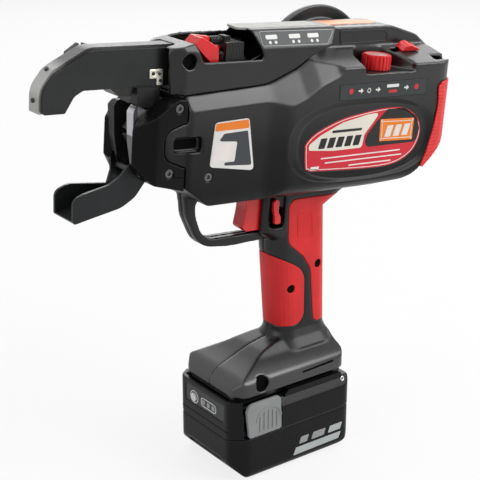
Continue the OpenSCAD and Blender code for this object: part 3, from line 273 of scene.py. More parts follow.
def wound(name, color, pitch):
    """Wire laid turn by turn across the reel, with painted shade between the turns."""
    s = Shade(name)
    wave = s.math("ABSOLUTE", s.math("SINE", s.math("MULTIPLY", s.body_axes()["Y"], pitch)))
    s.link(s.tint(scaled(color, 0.35), color, wave), s.bsdf.inputs["Base Color"])
    s.link(s.range(s.noise(500, 3), 0.3, 0.45), s.bsdf.inputs["Roughness"])
    s.bump([(wave, 0.6, 0.0004), (s.noise(1500, 2), 0.1, 0.0001)])
    s.set(Metallic=1.0)
    return s.mat


def printed(name, color, rough=0.38, spread=0.05):
    s = Shade(name)
    speckled(s, 70, color, 1 - spread, 1 + spread)
    s.link(s.range(s.noise(300, 2), rough - 0.05, rough + 0.05), s.bsdf.inputs["Roughness"])
    s.bump([(s.noise(900, 2), 0.08, 0.00005)])
    s.set(Specular_IOR_Level=0.3)
    return s.mat


# Specular level of the moulded casing by height in the body frame, matched to the photograph's dark lower
# sides: painted shade on the lower sides, painted sheen on the shoulders, top and foot
CASING_PAINTED_SHEEN = [(-0.2, 0.8), (-0.18, 0.8), (-0.172, 0.3), (-0.06, 0.34), (-0.04, 0.16), (-0.012, 0.22),
                (0.012, 0.42), (0.03, 0.56), (0.08, 0.56)]
CASING_COLOR = (0.0052, 0.0055, 0.0054)
# Shaded hollow round the main label: middle, half length, half height and depth, in metres
LABEL_DISH = (0.0605, -0.0125, 0.063, 0.0275, 0.0045)
# Greys along the arm's core and up the contact plate, by the share of the span given to split_metal
ARM_CORE_GREYS = [(0.0, (0.5, 0.5, 0.48)), (0.12, (0.4, 0.4, 0.39)), (0.22, (0.1, 0.1, 0.1)),
                  (0.38, (0.08, 0.08, 0.08)), (0.52, (0.11, 0.11, 0.11)), (1.0, (0.06, 0.06, 0.06))]
# The contact plate's light upper half is a painted reflection on its steel
CONTACT_GREYS_AND_REFLECTION = [(0.0, (0.14, 0.14, 0.14)), (0.49, (0.2, 0.2, 0.2)), (0.51, (0.66, 0.66, 0.7)),
                 (1.0, (0.72, 0.72, 0.76))]
# Noise scales for metal without a brushed direction
EVEN = (60, 60, 60)
M = {
    "housing": plastic("housing_plastic", CASING_COLOR, 0.31, 0.28, painted_sheen=CASING_PAINTED_SHEEN, dish=LABEL_DISH),
    "charcoal": plastic("charcoal_plastic", CASING_COLOR, 0.31, 0.28, painted_sheen=CASING_PAINTED_SHEEN),
    "nose": plastic("nose_plastic", (0.0028, 0.0028, 0.0029), 0.28, 0.2, specular=0.12),
    "cover": plastic("cover_plastic", (0.0055, 0.0057, 0.0055), 0.33, 0.28, specular=0.46),
    "black": plastic("black_plastic", (0.003, 0.003, 0.0031), 0.27, 0.18, specular=0.3),
    "gloss": plastic("gloss_black", (0.003, 0.003, 0.0031), 0.14, 0.05, specular=0.5),
    # Near-black material for painted shade in holes, slits and grooves
    "hollow": plastic("painted_hole_shade", (0.0012, 0.0012, 0.0012), 0.7, 0.05, specular=0.05),
    "battery": plastic("battery_plastic", (0.0035, 0.0037, 0.0038), 0.26, 0.2, specular=0.17),
    "red_soft": rubber("red_soft", (0.63, 0.011, 0.014), 0.48),
    "red_ribbed": rubber("red_ribbed", (0.66, 0.014, 0.014), 0.42, ribs=2400),
    "red": plastic("red_plastic", (0.68, 0.010, 0.013), 0.22, 0.1, 0.08, 0.5),
    "steel": metal("satin_steel", (0.5, 0.5, 0.49), 0.3),
    "bright": metal("bright_screw", (0.66, 0.66, 0.64), 0.24, EVEN),
    "arm_core": split_metal("arm_core_steel", "X", ARM_CORE_GREYS, -0.181, -0.09, 0.42),
    "arm_plate": metal("arm_plate_paint", (0.02, 0.021, 0.021), 0.33, EVEN, 0.1, metallic=0.5),
    "dark_steel": metal("dark_steel", (0.05, 0.05, 0.052), 0.36, EVEN, 0.1),
    "channel": metal("channel_steel", (0.016, 0.017, 0.018), 0.36, EVEN, 0.1, metallic=0.6),
    "zinc": metal("zinc_plate", (0.74, 0.72, 0.63), 0.42, EVEN),
    "brass": metal("gear_brass", (0.6, 0.5, 0.28), 0.35),
    "copper": metal("copper_wound", (0.45, 0.24, 0.12), 0.4, (900, 60, 60)),
    "wire": metal("tie_wire", (0.2, 0.2, 0.21), 0.38, EVEN),
    "wire_pack": wound("wire_pack", (0.16, 0.16, 0.165), 3400),
    # Near contact plate: steel with a painted reflection on its upper half
    "plate": split_metal("contact_steel_reflection", "Z", CONTACT_GREYS_AND_REFLECTION, -0.025, 0.025, 0.34),
    "feed": ribbed("feed_block", (0.004, 0.004, 0.004), (0.05, 0.05, 0.05), 5200),
    "cutter": metal("cutter_steel", (0.02, 0.02, 0.021), 0.3, (300, 300, 300), 0.3, metallic=0.6),
    "screw": metal("screw_steel", (0.12, 0.12, 0.12), 0.3, EVEN, 0.1),
    "liner": metal("liner_steel", (0.05, 0.05, 0.047), 0.4, (300, 60, 60), 0.2),
    # Far contact plate: the near plate's steel darkened, painted shade
    "plate_far_shade": metal("far_plate_shade", (0.03, 0.03, 0.031), 0.36, (60, 60, 300), 0.2, metallic=0.7),
    "grey": plastic("grey_plastic", (0.24, 0.25, 0.25), 0.34, 0.15, 0.08),
    "board": plastic("board_green", (0.02, 0.12, 0.06), 0.4, 0.2),
    "cells": plastic("cell_sleeve", (0.06, 0.16, 0.34), 0.3, 0.05),
    "label_red": printed("label_red", (0.56, 0.014, 0.03), 0.32),
    "label_cream": printed("label_cream", (0.7, 0.67, 0.58), 0.36),
    "label_dark": printed("label_dark", (0.012, 0.01, 0.01), 0.3),
    "label_orange": printed("label_orange", (0.76, 0.2, 0.02), 0.34),
    "label_white": printed("label_white", (0.68, 0.67, 0.65), 0.38),
    "label_grey": printed("label_grey", (0.045, 0.047, 0.055), 0.36),
    "label_blush": printed("label_blush", (0.74, 0.68, 0.66), 0.4),
    "panel_grey": printed("panel_grey", (0.028, 0.032, 0.033), 0.36),
    "mark_white": printed("mark_white", (0.66, 0.66, 0.64), 0.4),
    "mark_grey": printed("mark_grey", (0.3, 0.31, 0.31), 0.4),
    "mark_red": printed("mark_red", (0.5, 0.03, 0.035), 0.36),
    # Red of the dial made paler: painted highlight on its top face
    "dial_top_highlight": printed("dial_top_highlight", (0.62, 0.3, 0.29), 0.3),
    "top_pale": printed("top_pale", (0.36, 0.36, 0.34), 0.55),
    "silver": printed("silver_print", (0.42, 0.45, 0.45), 0.32),
}

LOOK = {
    "housing_left": "housing", "housing_right": "charcoal", "top_cover": "cover", "nose_cover": "nose",
    "grip_front_pad": "red_soft", "grip_rear_pad": "red_soft", "rear_bumper": "red_ribbed",
    "housing_screws": "screw", "nose_screws": "screw", "arm_core": "arm_core", "arm_plate_left": "arm_plate",
    "arm_plate_right": "arm_plate", "arm_bumper": "black", "curl_liner": "liner", "arm_bracket": "zinc",
    "arm_screws": "dark_steel", "cutter_block": "cutter", "contact_plate_left": "plate",
    "contact_plate_right": "plate_far_shade", "arm_end": "channel", "arm_end_pin": "dark_steel",
    "twist_tube": "steel", "bearing_front": "steel", "bearing_rear": "steel", "twist_shaft": "dark_steel",
    "twist_hook": "dark_steel",
    "planet_gear_1": "brass", "planet_gear_2": "brass", "planet_gear_3": "brass", "ring_gear": "steel",
    "motor_rotor": "copper", "motor_can": "dark_steel", "feed_frame": "feed", "feed_motor": "dark_steel",
    "feed_pinion": "brass", "feed_gear": "brass", "drive_roller": "steel", "idler_roller": "steel",
    "release_lever": "red", "lever_pin": "steel", "release_spring": "steel", "reel_case": "charcoal",
    "reel": "black", "wire_coil": "wire", "reel_axle": "steel", "reel_cap": "red", "reel_stop": "red",
    "trigger": "red", "trigger_switch": "black", "lock_lever": "red", "lock_pin": "steel",
    "torque_dial": "red", "control_board": "board", "battery_tray": "battery", "battery_top": "battery",
    "battery_cells": "cells", "latch_left": "grey", "latch_right": "grey", "terminal_block": "black",
    "charge_button": "mark_white",
}

# Remesh of moulded nodes: voxel in millimetres, smoothing rounds and the share of faces kept
MOULDED = {
    "housing_left": (0.8, 10, 0.3), "housing_right": (0.8, 10, 0.3), "top_cover": (0.7, 7, 0.35),
    "nose_cover": (0.6, 4, 0.4), "rear_bumper": (0.4, 4, 0.5), "grip_front_pad": (0.45, 4, 0.4),
    "grip_rear_pad": (0.45, 4, 0.4), "battery_tray": (0.8, 18, 0.35), "battery_top": (0.6, 7, 0.4),
    "reel_case": (0.8, 4, 0.4), "trigger": (0.4, 6, 0.5), "release_lever": (0.35, 4, 0.5),
    "reel_stop": (0.3, 4, 0.5), "lock_lever": (0.25, 4, 0.6), "latch_left": (0.4, 4, 0.5),
    "latch_right": (0.4, 4, 0.5), "arm_bumper": (0.3, 3, 0.5),
}
# Bevel of all other nodes, in metres, and the least angles of an edge that is bevelled
ARM_BEVEL = 0.0006
NODE_BEVEL = 0.00025
NODE_BEVEL_ANGLE = math.radians(32)
PIECE_BEVEL_ANGLE = math.radians(50)


def modifier(obj, kind, **values):
    m = obj.modifiers.new(kind.lower(), kind)
    for key, value in values.items():
        setattr(m, key, value)


def dress(name, obj):
    obj.data.materials.clear()
    obj.data.materials.append(M[LOOK[name]])
    if "custom_normal" in obj.data.attributes:
        obj.data.attributes.remove(obj.data.attributes["custom_normal"])
    modifier(obj, "WELD", merge_threshold=1e-6)
    if name in MOULDED:
        voxel, rounds, keep = MOULDED[name]
        modifier(obj, "REMESH", mode="VOXEL", voxel_size=voxel / 1000, use_smooth_shade=True)
        modifier(obj, "SMOOTH", factor=0.5, iterations=rounds)
        modifier(obj, "DECIMATE", ratio=keep)
    else:
        for face in obj.data.polygons:
            face.use_smooth = True
        width = ARM_BEVEL if name.startswith("arm_") else NODE_BEVEL
        modifier(obj, "BEVEL", width=width, segments=2, limit_method="ANGLE", angle_limit=NODE_BEVEL_ANGLE,
                 use_clamp_overlap=True)
        modifier(obj, "WEIGHTED_NORMAL", keep_sharp=False, weight=60)


for name, obj in nodes.items():
    dress(name, obj)


# Outlines in two coordinates
def smooth_loop(points, steps=6, tension=0.5):
    out = []
    n = len(points)
    for i in range(n):
        p0, p1, p2, p3 = (Vector(points[(i + k) % n]) for k in (-1, 0, 1, 2))
        for k in range(steps):
            t = k / steps
            m1, m2 = (p2 - p0) * tension, (p3 - p1) * tension
            a, b = 2 * t ** 3 - 3 * t * t + 1, t ** 3 - 2 * t * t + t
            c, d = 3 * t * t - 2 * t ** 3, t ** 3 - t * t
            out.append(tuple(p1 * a + m1 * b + p2 * c + m2 * d))
    return out


def rounded(points, radius, steps=5):
    out = []
    n = len(points)
    for i in range(n):
        p, q, s = (Vector(points[(i + k) % n]) for k in (-1, 0, 1))
        u, v = (p - q).normalized(), (s - q).normalized()
        half = u.angle(v) / 2
        reach = min(radius / math.tan(half), 0.45 * (p - q).length, 0.45 * (s - q).length)
        a, b = q + u * reach, q + v * reach
        for k in range(steps + 1):
            t = k / steps
            out.append(tuple(a * (1 - t) ** 2 + q * 2 * t * (1 - t) + b * t * t))
    return out


def box(x0, z0, x1, z1, radius=0.6):
    return rounded([(x0, z0), (x1, z0), (x1, z1), (x0, z1)], radius)


def slanted(x0, z0, x1, z1):
    lean = 0.3 * (z1 - z0)
    return rounded([(x0, z0), (x0 + lean, z1), (x1 + lean, z1), (x1, z0)], 0.6)


def disc(x, z, r, steps=32):
    angles = [2 * math.pi * k / steps for k in range(steps)]
    return [(x + r * math.cos(a), z + r * math.sin(a)) for a in angles]


def grown(points, by):
    """The same loop moved outwards by a distance, for convex-enough loops."""
    n = len(points)
    following = points[1:] + points[:1]
    area = sum(p[0] * q[1] - q[0] * p[1] for p, q in zip(points, following))
    sign = 1 if area > 0 else -1
    out = []
    for i in range(n):
        p, q = Vector(points[(i - 1) % n]), Vector(points[(i + 1) % n])
        d = (q - p).normalized()
        out.append((points[i][0] + sign * d.y * by, points[i][1] - sign * d.x * by))
    return out


# Thin plates, rims and tubes
def finish_piece(name, bm, material, body, edge, smooth=False):
    bmesh.ops.recalc_face_normals(bm, faces=bm.faces)
    mesh = bpy.data.meshes.new(name)
    bm.to_mesh(mesh)
    bm.free()
    obj = bpy.data.objects.new(name, mesh)
    scene.collection.objects.link(obj)
    mesh.materials.append(M[material])
    if smooth:
        for face in mesh.polygons:
            face.use_smooth = True
    if edge:
        modifier(obj, "BEVEL", width=edge, segments=2, limit_method="ANGLE", angle_limit=PIECE_BEVEL_ANGLE)
    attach(obj, body)
    return obj


def plate(name, outline, place, thick, material, body="body", slot="grey_plastic", edge=0.00008, sink=0.6):
    """A closed outline; place(a, b, h) puts it in the frame, h millimetres above its seat."""
    bm = bmesh.new()
    low = [bm.verts.new(place(a, b, -sink)) for a, b in outline]
    high = [bm.verts.new(place(a, b, thick)) for a, b in outline]
    n = len(outline)
    bm.faces.new(list(reversed(low)))
    bm.faces.new(high)
    for i in range(n):
        bm.faces.new((low[i], low[(i + 1) % n], high[(i + 1) % n], high[i]))
    finish_piece(name, bm, material, body, edge)


def rim(name, outline, width, place, thick, material, body="body", slot="grey_plastic", edge=0.00008, sink=0.4):
    """A band of even width inside a closed outline."""
    inner = grown(outline, -width)
    bm = bmesh.new()
    rings = [[bm.verts.new(place(a, b, h)) for a, b in loop]
             for loop, h in ((outline, -sink), (outline, thick), (inner, thick), (inner, -sink))]
    n = len(outline)
    for k in range(4):
        one, two = rings[k], rings[(k + 1) % 4]
        for i in range(n):
            bm.faces.new((one[i], one[(i + 1) % n], two[(i + 1) % n], two[i]))
    finish_piece(name, bm, material, body, edge)


def tube(name, points, radius, sides, material, body="body", closed=False):
    """A round wire along a path of points in metres."""
    bm = bmesh.new()
    n = len(points)
    rings = []
    normal = None
    angles = [2 * math.pi * k / sides for k in range(sides)]
    for i, p in enumerate(points):
        a = points[(i - 1) % n] if closed or i else points[0]
        b = points[(i + 1) % n] if closed or i < n - 1 else points[-1]
        t = (b - a).normalized()
        if normal is None:
            normal = t.orthogonal().normalized()
        normal = (normal - t * normal.dot(t)).normalized()
        other = t.cross(normal)
        rings.append([bm.verts.new(p + (normal * math.cos(u) + other * math.sin(u)) * radius) for u in angles])
    for i in range(n if closed else n - 1):
        one, two = rings[i], rings[(i + 1) % n]
        for k in range(sides):
            bm.faces.new((one[k], one[(k + 1) % sides], two[(k + 1) % sides], two[k]))
    if not closed:
        bm.faces.new(list(reversed(rings[0])))
        bm.faces.new(rings[-1])
    return finish_piece(name, bm, material, body, 0, True)


def hole_shade_sheet(name, outline, place, thick, body="body"):
    """A dark plate that reads as the floor of a recess: painted shade where the recess is dark."""
    plate(name, outline, place, thick, "hollow", body=body, slot="black_plastic", edge=0)


# Places in the body frame, then in the frame of the base: the last number is the height above the seat
def near_side(y):
    return lambda x, z, h: body_point(x, y - h, z)


def far_side(y):
    return lambda x, z, h: body_point(x, y + h, z)


def level(z):
    return lambda x, y, h: body_point(x, y, z + h)


def at_side(y, side=-1):
    return lambda x, z, h: base_point(x, side * (y + h), z)


def at_front(x):
    return lambda y, z, h: base_point(x - h, y, z)


# Main side label: plain fields in the photograph's colours
SIDE = near_side(-36.0)
label = smooth_loop([(8.0, -27.6), (6.4, -14.6), (7.1, -10.0), (16.2, -2.7), (37.6, 5.0), (60.1, 8.6),
                     (78.8, 10.3), (96.6, 9.1), (109.1, 2.1), (114.7, -6.9), (113.7, -16.7), (106.8, -26.0),
                     (91.3, -32.6), (65.8, -33.8), (19.5, -31.6), (10.5, -30.1)])
plate("label_edge", label, SIDE, 0.18, "label_dark", slot="black_plastic", sink=1.2)
plate("label_base", grown(label, -0.8), SIDE, 0.24, "label_red", slot="red_plastic")
cream = [(10.5, -15.5), (10.5, -11.7), (20.9, -5.4), (39.4, 1.9), (60.4, 5.7), (73.6, 6.9), (64.7, -3.0),
         (60.0, -8.5), (58.8, -17.4), (32.8, -17.5)]
plate("label_left_field", rounded(cream, 3), SIDE, 0.3, "label_cream", edge=0)
dark = [(79.7, 8.5), (96.6, 8.5), (109.2, 0.9), (113.3, -8.0), (110.4, -17.4), (63.5, -17.5), (61.0, -12.8),
        (63.5, -7.6), (70.6, 0.2)]
plate("label_right_field", rounded(dark, 4), SIDE, 0.3, "label_dark", slot="black_plastic", edge=0)
block = rounded([(74.2, 1.7), (106.7, 0.5), (106.7, -15.4), (74.9, -14.3)], 0.6)
plate("label_block", block, SIDE, 0.36, "label_orange", slot="red_plastic", edge=0)
for i, x in enumerate((79.2, 87.4, 95.6)):
    plate(f"label_block_bar_{i}", slanted(x, -11.6, x + 5.6, -3.4), SIDE, 0.42, "label_white", edge=0)
for i, x in enumerate((18.6, 26.4, 34.2, 42.0, 49.8)):
    plate(f"label_field_bar_{i}", slanted(x, -15.2, x + 5.8, -8.0), SIDE, 0.36, "label_dark",
          slot="black_plastic", edge=0)
plate("label_field_line", slanted(30.0, -4.9, 57.0, -3.1), SIDE, 0.36, "label_dark", slot="black_plastic",
      edge=0)
rim("label_block_rim", grown(block, -1.6), 0.5, SIDE, 0.4, "label_white", edge=0)
rim("label_line", grown(label, -1.7), 0.5, SIDE, 0.3, "label_blush", edge=0)
for i, (x0, x1, z) in enumerate(((22, 96, -22.2), (26, 98, -25.6), (48, 88, -29.2))):
    plate(f"label_bar_{i}", box(x0, z - 0.45, x1, z + 0.45, 0.4), SIDE, 0.3, "label_blush", edge=0)
plate("label_bar_low", box(13.5, -30, 21, -27.4, 0.6), SIDE, 0.3, "label_blush", edge=0)

# Setting strip with plain marks
strip = rounded([(34.1, 27.8), (115.8, 28.4), (115.9, 17.5), (34.6, 17.4)], 0.8)
plate("setting_strip_edge", grown(strip, 0.7), SIDE, 0.12, "black", slot="black_plastic", sink=1.2)
plate("setting_strip", strip, SIDE, 0.22, "panel_grey")
for i, x in enumerate((44.3, 105.7)):
    plate(f"strip_dot_{i}", disc(x, 23.2, 2.0), SIDE, 0.28, "mark_red", slot="red_plastic", edge=0)
for i, x in enumerate((53.1, 68.9, 96.0)):
    arrow = [(x - 2.2, 22.5), (x, 22.5), (x, 21.2), (x + 2.3, 23.1), (x, 25.0), (x, 23.7), (x - 2.2, 23.7)]
    plate(f"strip_arrow_{i}", arrow, SIDE, 0.28, "mark_white", edge=0)
rim("strip_ring", disc(60.6, 23.0, 1.7), 0.6, SIDE, 0.28, "mark_white", edge=0)
plate("strip_bar_top", box(77, 24.0, 88.5, 26.2, 0.8), SIDE, 0.28, "mark_white", edge=0)
plate("strip_bar_low", box(79, 20.2, 87, 22.2, 0.8), SIDE, 0.28, "mark_red", slot="red_plastic", edge=0)

# Plain sticker on the front of the side
FRONT_SIDE = near_side(-30.0)
sticker = rounded([(-64.4, 8.1), (-37.3, 9.4), (-30.6, -26.6), (-67.0, -21.2)], 2.8)
plate("side_sticker", sticker, FRONT_SIDE, 0.22, "label_white", sink=1.2)
band = rounded([(-63.9, 7.4), (-37.9, 8.6), (-36.7, 2.8), (-64.6, 2.4)], 1.4)
plate("sticker_band", band, FRONT_SIDE, 0.28, "label_orange", slot="red_plastic", edge=0)
shape = [(-60.6, -4.0), (-57.0, 0.4), (-38.0, 1.2), (-33.0, -22.6), (-55.5, -21.0), (-55.2, -19.0),
         (-47.2, -19.0), (-46.0, -5.6), (-58.0, -4.6)]
plate("sticker_block", rounded(shape, 1.4), FRONT_SIDE, 0.28, "label_grey", edge=0)
field = rounded([(-63.5, -6.5), (-48.0, -7.0), (-49.0, -17.6), (-64.5, -18.0)], 1.2)
plate("sticker_field", field, FRONT_SIDE, 0.27, "label_blush", edge=0)

# Panel with three plain marks on the cover's near slope
SLOPE_FOOT = Vector((0, -23, 53))
SLOPE = Vector((0, 6, 12)).normalized()
RISE = Vector((0, -SLOPE.z, SLOPE.y))


def on_slope(x, w, h):
    p = SLOPE_FOOT + SLOPE * w + RISE * h
    return body_point(x, p.y, p.z)


panel = rounded([(-24.6, 1.6), (31.0, 1.0), (39.0, 11.4), (-25.7, 12.0)], 2.0)
plate("slope_panel", panel, on_slope, 0.2, "panel_grey", sink=1.2)
rim("slope_panel_rim", panel, 0.45, on_slope, 0.26, "mark_grey", edge=0)
for i, x in enumerate((-15.5, 4.0, 20.0)):
    plate(f"slope_mark_{i}", box(x - 5.4, 6.2, x + 4.2, 9.2, 1.0), on_slope, 0.27, "mark_white", edge=0)
    for k in (-1, 1):
        plate(f"slope_dot_{i}_{k + 1}", disc(x + k * 2.4, 4.0, 1.1), on_slope, 0.27, "mark_white", edge=0)

# Pale plate on the cover's top and a strip along the spine
COVER_TOP = level(65.0)
pale = rounded([(-37, -8), (-34, 6.5), (33, 6.5), (30, -12.5), (-28, -12.5)], 1.6)
plate("top_plate", pale, COVER_TOP, 0.22, "top_pale", sink=1.2)
for i, (x0, x1, y) in enumerate(((-26, 4, 2.5), (-24, 14, -2.0), (-20, 8, -6.5))):
    plate(f"top_plate_bar_{i}", box(x0, y - 0.7, x1, y + 0.7, 0.5), COVER_TOP, 0.28, "mark_grey", edge=0)
spine = rounded([(48, 2), (48, 19), (88, 18), (101, 12), (96, 3)], 1.5)
plate("spine_strip", spine, level(62.5), 0.22, "label_orange", slot="red_plastic", sink=1.2)
SPINE_SIDE = near_side(-9.0)
recess = rounded([(52.5, 60.2), (94.0, 60.0), (98.9, 56.2), (97.0, 51.2), (54.0, 50.4)], 2.0)
plate("spine_panel", recess, SPINE_SIDE, 0.15, "gloss", slot="black_plastic", sink=1.2)
rim("spine_panel_rim", recess, 0.8, SPINE_SIDE, 0.5, "cover", slot="charcoal_plastic", edge=0.00015)

# Nose details
# Near-black sheets in the tongue recess, slit and cover hole: painted shade
hole_shade_sheet("tongue_hollow_shade", box(-92.4, -8.6, -75.0, -1.9, 2.2), near_side(-24.6), 0.12)
slit = [(-93.9, -23.4), (-93.2, -23.4), (-92.4, -25.9), (-85.7, -26.6), (-85.8, -27.3), (-93.0, -26.6)]
hole_shade_sheet("nose_slit_shade", rounded(slit, 0.2), near_side(-27.5), 0.03)
lip = [body_point(-92.6 + 17.6 * k / 8, -27.1 + 0.5 * abs(k - 4) / 4, -9.9 - 0.3 * k / 8) for k in range(9)]
tube("tongue_lip", lip, 0.0009, 10, "charcoal")
hole_shade_sheet("cover_hole_shade", disc(-81.5, 47, 4.85), near_side(-19.6), 0.05)

# Dial top and its pointer
DIAL = (78.5, -21.0)
DIAL_TOP = level(44.4)
ON_DIAL = {"body": "dial", "slot": "red_plastic"}
# Face of the red dial, paler: painted highlight on its top
plate("dial_face", disc(*DIAL, 8.6, 44), DIAL_TOP, 0.35, "dial_top_highlight", edge=0.0002, **ON_DIAL)
rim("dial_rim", disc(*DIAL, 9.6, 44), 1.2, DIAL_TOP, 0.7, "red", edge=0.0002, **ON_DIAL)
pointer = box(DIAL[0] - 0.7, DIAL[1] - 8.2, DIAL[0] + 0.7, DIAL[1] - 2.0, 0.5)
plate("dial_pointer", pointer, DIAL_TOP, 0.6, "mark_white", body="dial", edge=0)

# Battery details
battery_near = at_side(37.2)
battery_front = at_front(-53.5)
low_print = rounded([(-0.9, 7.2), (1.8, 13.0), (45.0, 13.0), (42.4, 7.8)], 0.6)
plate("battery_print", low_print, battery_near, 0.12, "silver", body="battery", sink=1.0)
for i, (x0, x1) in enumerate(((4.5, 14.0), (16.0, 30.0), (32.0, 46.0))):
    mark = rounded([(x0, 15.2), (x0 + 2.0, 20.6), (x1, 20.6), (x1 - 2.0, 15.2)], 0.8)
    plate(f"battery_mark_{i}", mark, battery_near, 0.12, "silver" if i == 2 else "mark_grey", body="battery",
          sink=1.0)
# Near-black strip in the front groove: painted shade
hole_shade_sheet("front_groove_shade", box(-28.0, 38.9, 28.0, 39.5, 0.2), at_front(-54.0), 0.04, body="battery")
plate("gauge_panel", box(-23.2, 45.8, 23.2, 58.2, 1.2), battery_front, 0.12, "panel_grey", body="battery")
gauge = rounded([(4.6, 47.6), (-14.4, 47.6), (-14.4, 54.6), (4.6, 54.6)], 3.4)
rim("gauge_rim", gauge, 0.7, battery_front, 0.3, "mark_white", body="battery", edge=0)
for i, y in enumerate((1.4, -4.6, -10.6)):
    plate(f"gauge_bar_{i}", box(y - 1.7, 49.3, y + 1.7, 52.9, 0.5), battery_front, 0.28, "mark_grey",
          body="battery", edge=0)
rim("button_rim", disc(13.0, 51.0, 5.0), 0.7, battery_front, 0.3, "mark_white", body="battery", edge=0)

# Latches, rails and ring of the battery
LATCH_MIDDLE = (-23.8, 45.4)
LATCH_RIBS = ((-31.4, 49.6), (-27.6, 52.2), (-23.8, 53.0), (-20.0, 52.2), (-16.2, 49.6))


def half_oval(width, height, angles):
    return [(LATCH_MIDDLE[0] + width * math.cos(a), LATCH_MIDDLE[1] + height * math.sin(a)) for a in angles]


half_turn = [math.pi * k / 20 for k in range(21)]
arch = half_oval(11.5, 10.5, half_turn) + half_oval(10.2, 9.2, half_turn[::-1])
for side, body in ((-1, "latch_left"), (1, "latch_right")):
    on_latch = at_side(37.6, side)
    for i, (x, top) in enumerate(LATCH_RIBS):
        plate(f"{body}_rib_{i}", box(x - 0.85, 37.4, x + 0.85, top, 0.8), on_latch, 0.55, "grey", body=body,
              edge=0.0003)
    plate(f"{body}_arch", arch, on_latch, 0.4, "grey", body=body, edge=0.0002)
rail = rounded([(-8.5, 56.6), (-3.5, 61.2), (45.5, 61.2), (47.0, 56.6)], 1.0)
for side in (-1, 1):
    plate(f"battery_rail_{side + 1}", rail, at_side(31.2, side), 3.6, "battery", body="battery",
          slot="black_plastic", edge=0.0005)
ring_x, ring_y, ring_z, ring_r, ring_lean = 47.0, -34.4, 55.0, 1.3, 0.5
ring = [base_point(ring_x + ring_r * math.cos(a), ring_y + ring_lean * math.sin(a),
                   ring_z + ring_r * math.sin(a))
        for a in [math.pi * k / 12 for k in range(24)]]
tube("battery_ring", ring, 0.00055, 8, "bright", body="battery", closed=True)

# Foot and grip details
# Near-black sheets in the foot's slots and hole and in the grip's screw holes: painted shade
slot_shape = rounded([(9.0, 70.6), (38.0, 71.6), (38.0, 73.4), (9.0, 72.2)], 0.6)
for side in (-1, 1):
    hole_shade_sheet(f"foot_slot_shade_{side + 1}", slot_shape, at_side(34.5, side), 0.03)
hole_shade_sheet("foot_hole_shade", disc(-27, 72, 5.5), at_side(31.5), 0.05)
for i, (x, z) in enumerate(((13.4, 128.5), (38.0, 143.0))):
    hole_shade_sheet(f"grip_hole_shade_{i}", disc(x, z, 2.85), at_side(13.3), 0.03)
grid = [(18.3, 167.6), (32.2, 164.5), (31.7, 182.9), (17.9, 185.8)]
on_pad = at_side(14.75)
rim("pad_grid_rim", rounded(grid, 1.0), 0.7, on_pad, 0.3, "red_soft", slot="red_soft", edge=0.0001)
for k in range(5):
    t = (k + 1) / 6
    a, b = Vector(grid[0]).lerp(Vector(grid[3]), t), Vector(grid[1]).lerp(Vector(grid[2]), t)
    rib = [(a.x + 1, a.y - 0.4), (b.x - 1, b.y - 0.4), (b.x - 1, b.y + 0.4), (a.x + 1, a.y + 0.4)]
    plate(f"pad_grid_rib_{k}", rib, on_pad, 0.3, "red_soft", slot="red_soft", edge=0.0001)

# Release spring as a fine coil
turns, steps, coil_r = 6, 24, 2.3
start, end, mid_y, mid_z = -57.7, -47.3, -7.1, 57.2
straight = 0.7
coil = []
for i in range(steps * turns + 1):
    a = 2 * math.pi * i / steps
    x = start + straight + (end - start - 2 * straight) * i / (steps * turns)
    coil.append(body_point(x, mid_y + coil_r * math.cos(a), mid_z + coil_r * math.sin(a)))
coil = [body_point(start, mid_y + coil_r, mid_z)] + coil + [body_point(end, mid_y + coil_r, mid_z)]
spring = tube("release_spring_coil", coil, 0.00036, 10, "dark_steel")
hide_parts("release_spring")
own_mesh(spring)

# Wire on the reel, laid turn by turn, and the reel's outer face
REEL = (71.5, 22.5)
WIRE_Y = (29.2, 48.3)
wire_r = 0.45
turns, steps = 20, 36
for layer, reach in enumerate((28.5, 27.7)):
    lay = []
    for i in range(steps * turns + 1):
        a = 2 * math.pi * i / steps
        y = WIRE_Y[0] + wire_r + (WIRE_Y[1] - WIRE_Y[0] - 2 * wire_r) * i / (steps * turns)
        if layer:
            y = WIRE_Y[0] + WIRE_Y[1] - y
        lay.append(body_point(REEL[0] + reach * math.cos(a), y, REEL[1] + reach * math.sin(a)))
    turn = tube(f"wire_layer_{layer}", lay, wire_r / 1000, 6, "wire", body="reel")
    if layer == 0:
        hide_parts("wire_coil")
OUTER = far_side(50.3)
ON_REEL = {"body": "reel", "slot": "black_plastic"}
WINDOW_R = (28.2, 18.2)
rim("reel_face_rim", disc(*REEL, 33.6, 72), 2.2, OUTER, 0.5, "black", edge=0.0002, **ON_REEL)
rim("reel_face_ring", disc(*REEL, 15.2, 48), 1.6, OUTER, 0.5, "black", edge=0.0002, **ON_REEL)
for k in range(6):
    mid = math.radians(60 * k + 30)
    arc = [mid + math.radians(21) * (t / 10 - 1) for t in range(21)]
    window = [(REEL[0] + r * math.cos(a), REEL[1] + r * math.sin(a))
              for r, angles in zip(WINDOW_R, (arc, arc[::-1])) for a in angles]
    window = rounded(window[::2], 1.2, 2)
    plate(f"reel_window_{k}", window, OUTER, 0.03, "wire_pack", body="reel", slot="tie_wire", edge=0)
    rim(f"reel_window_rim_{k}", window, 0.9, OUTER, 0.45, "black", edge=0.0001, **ON_REEL)

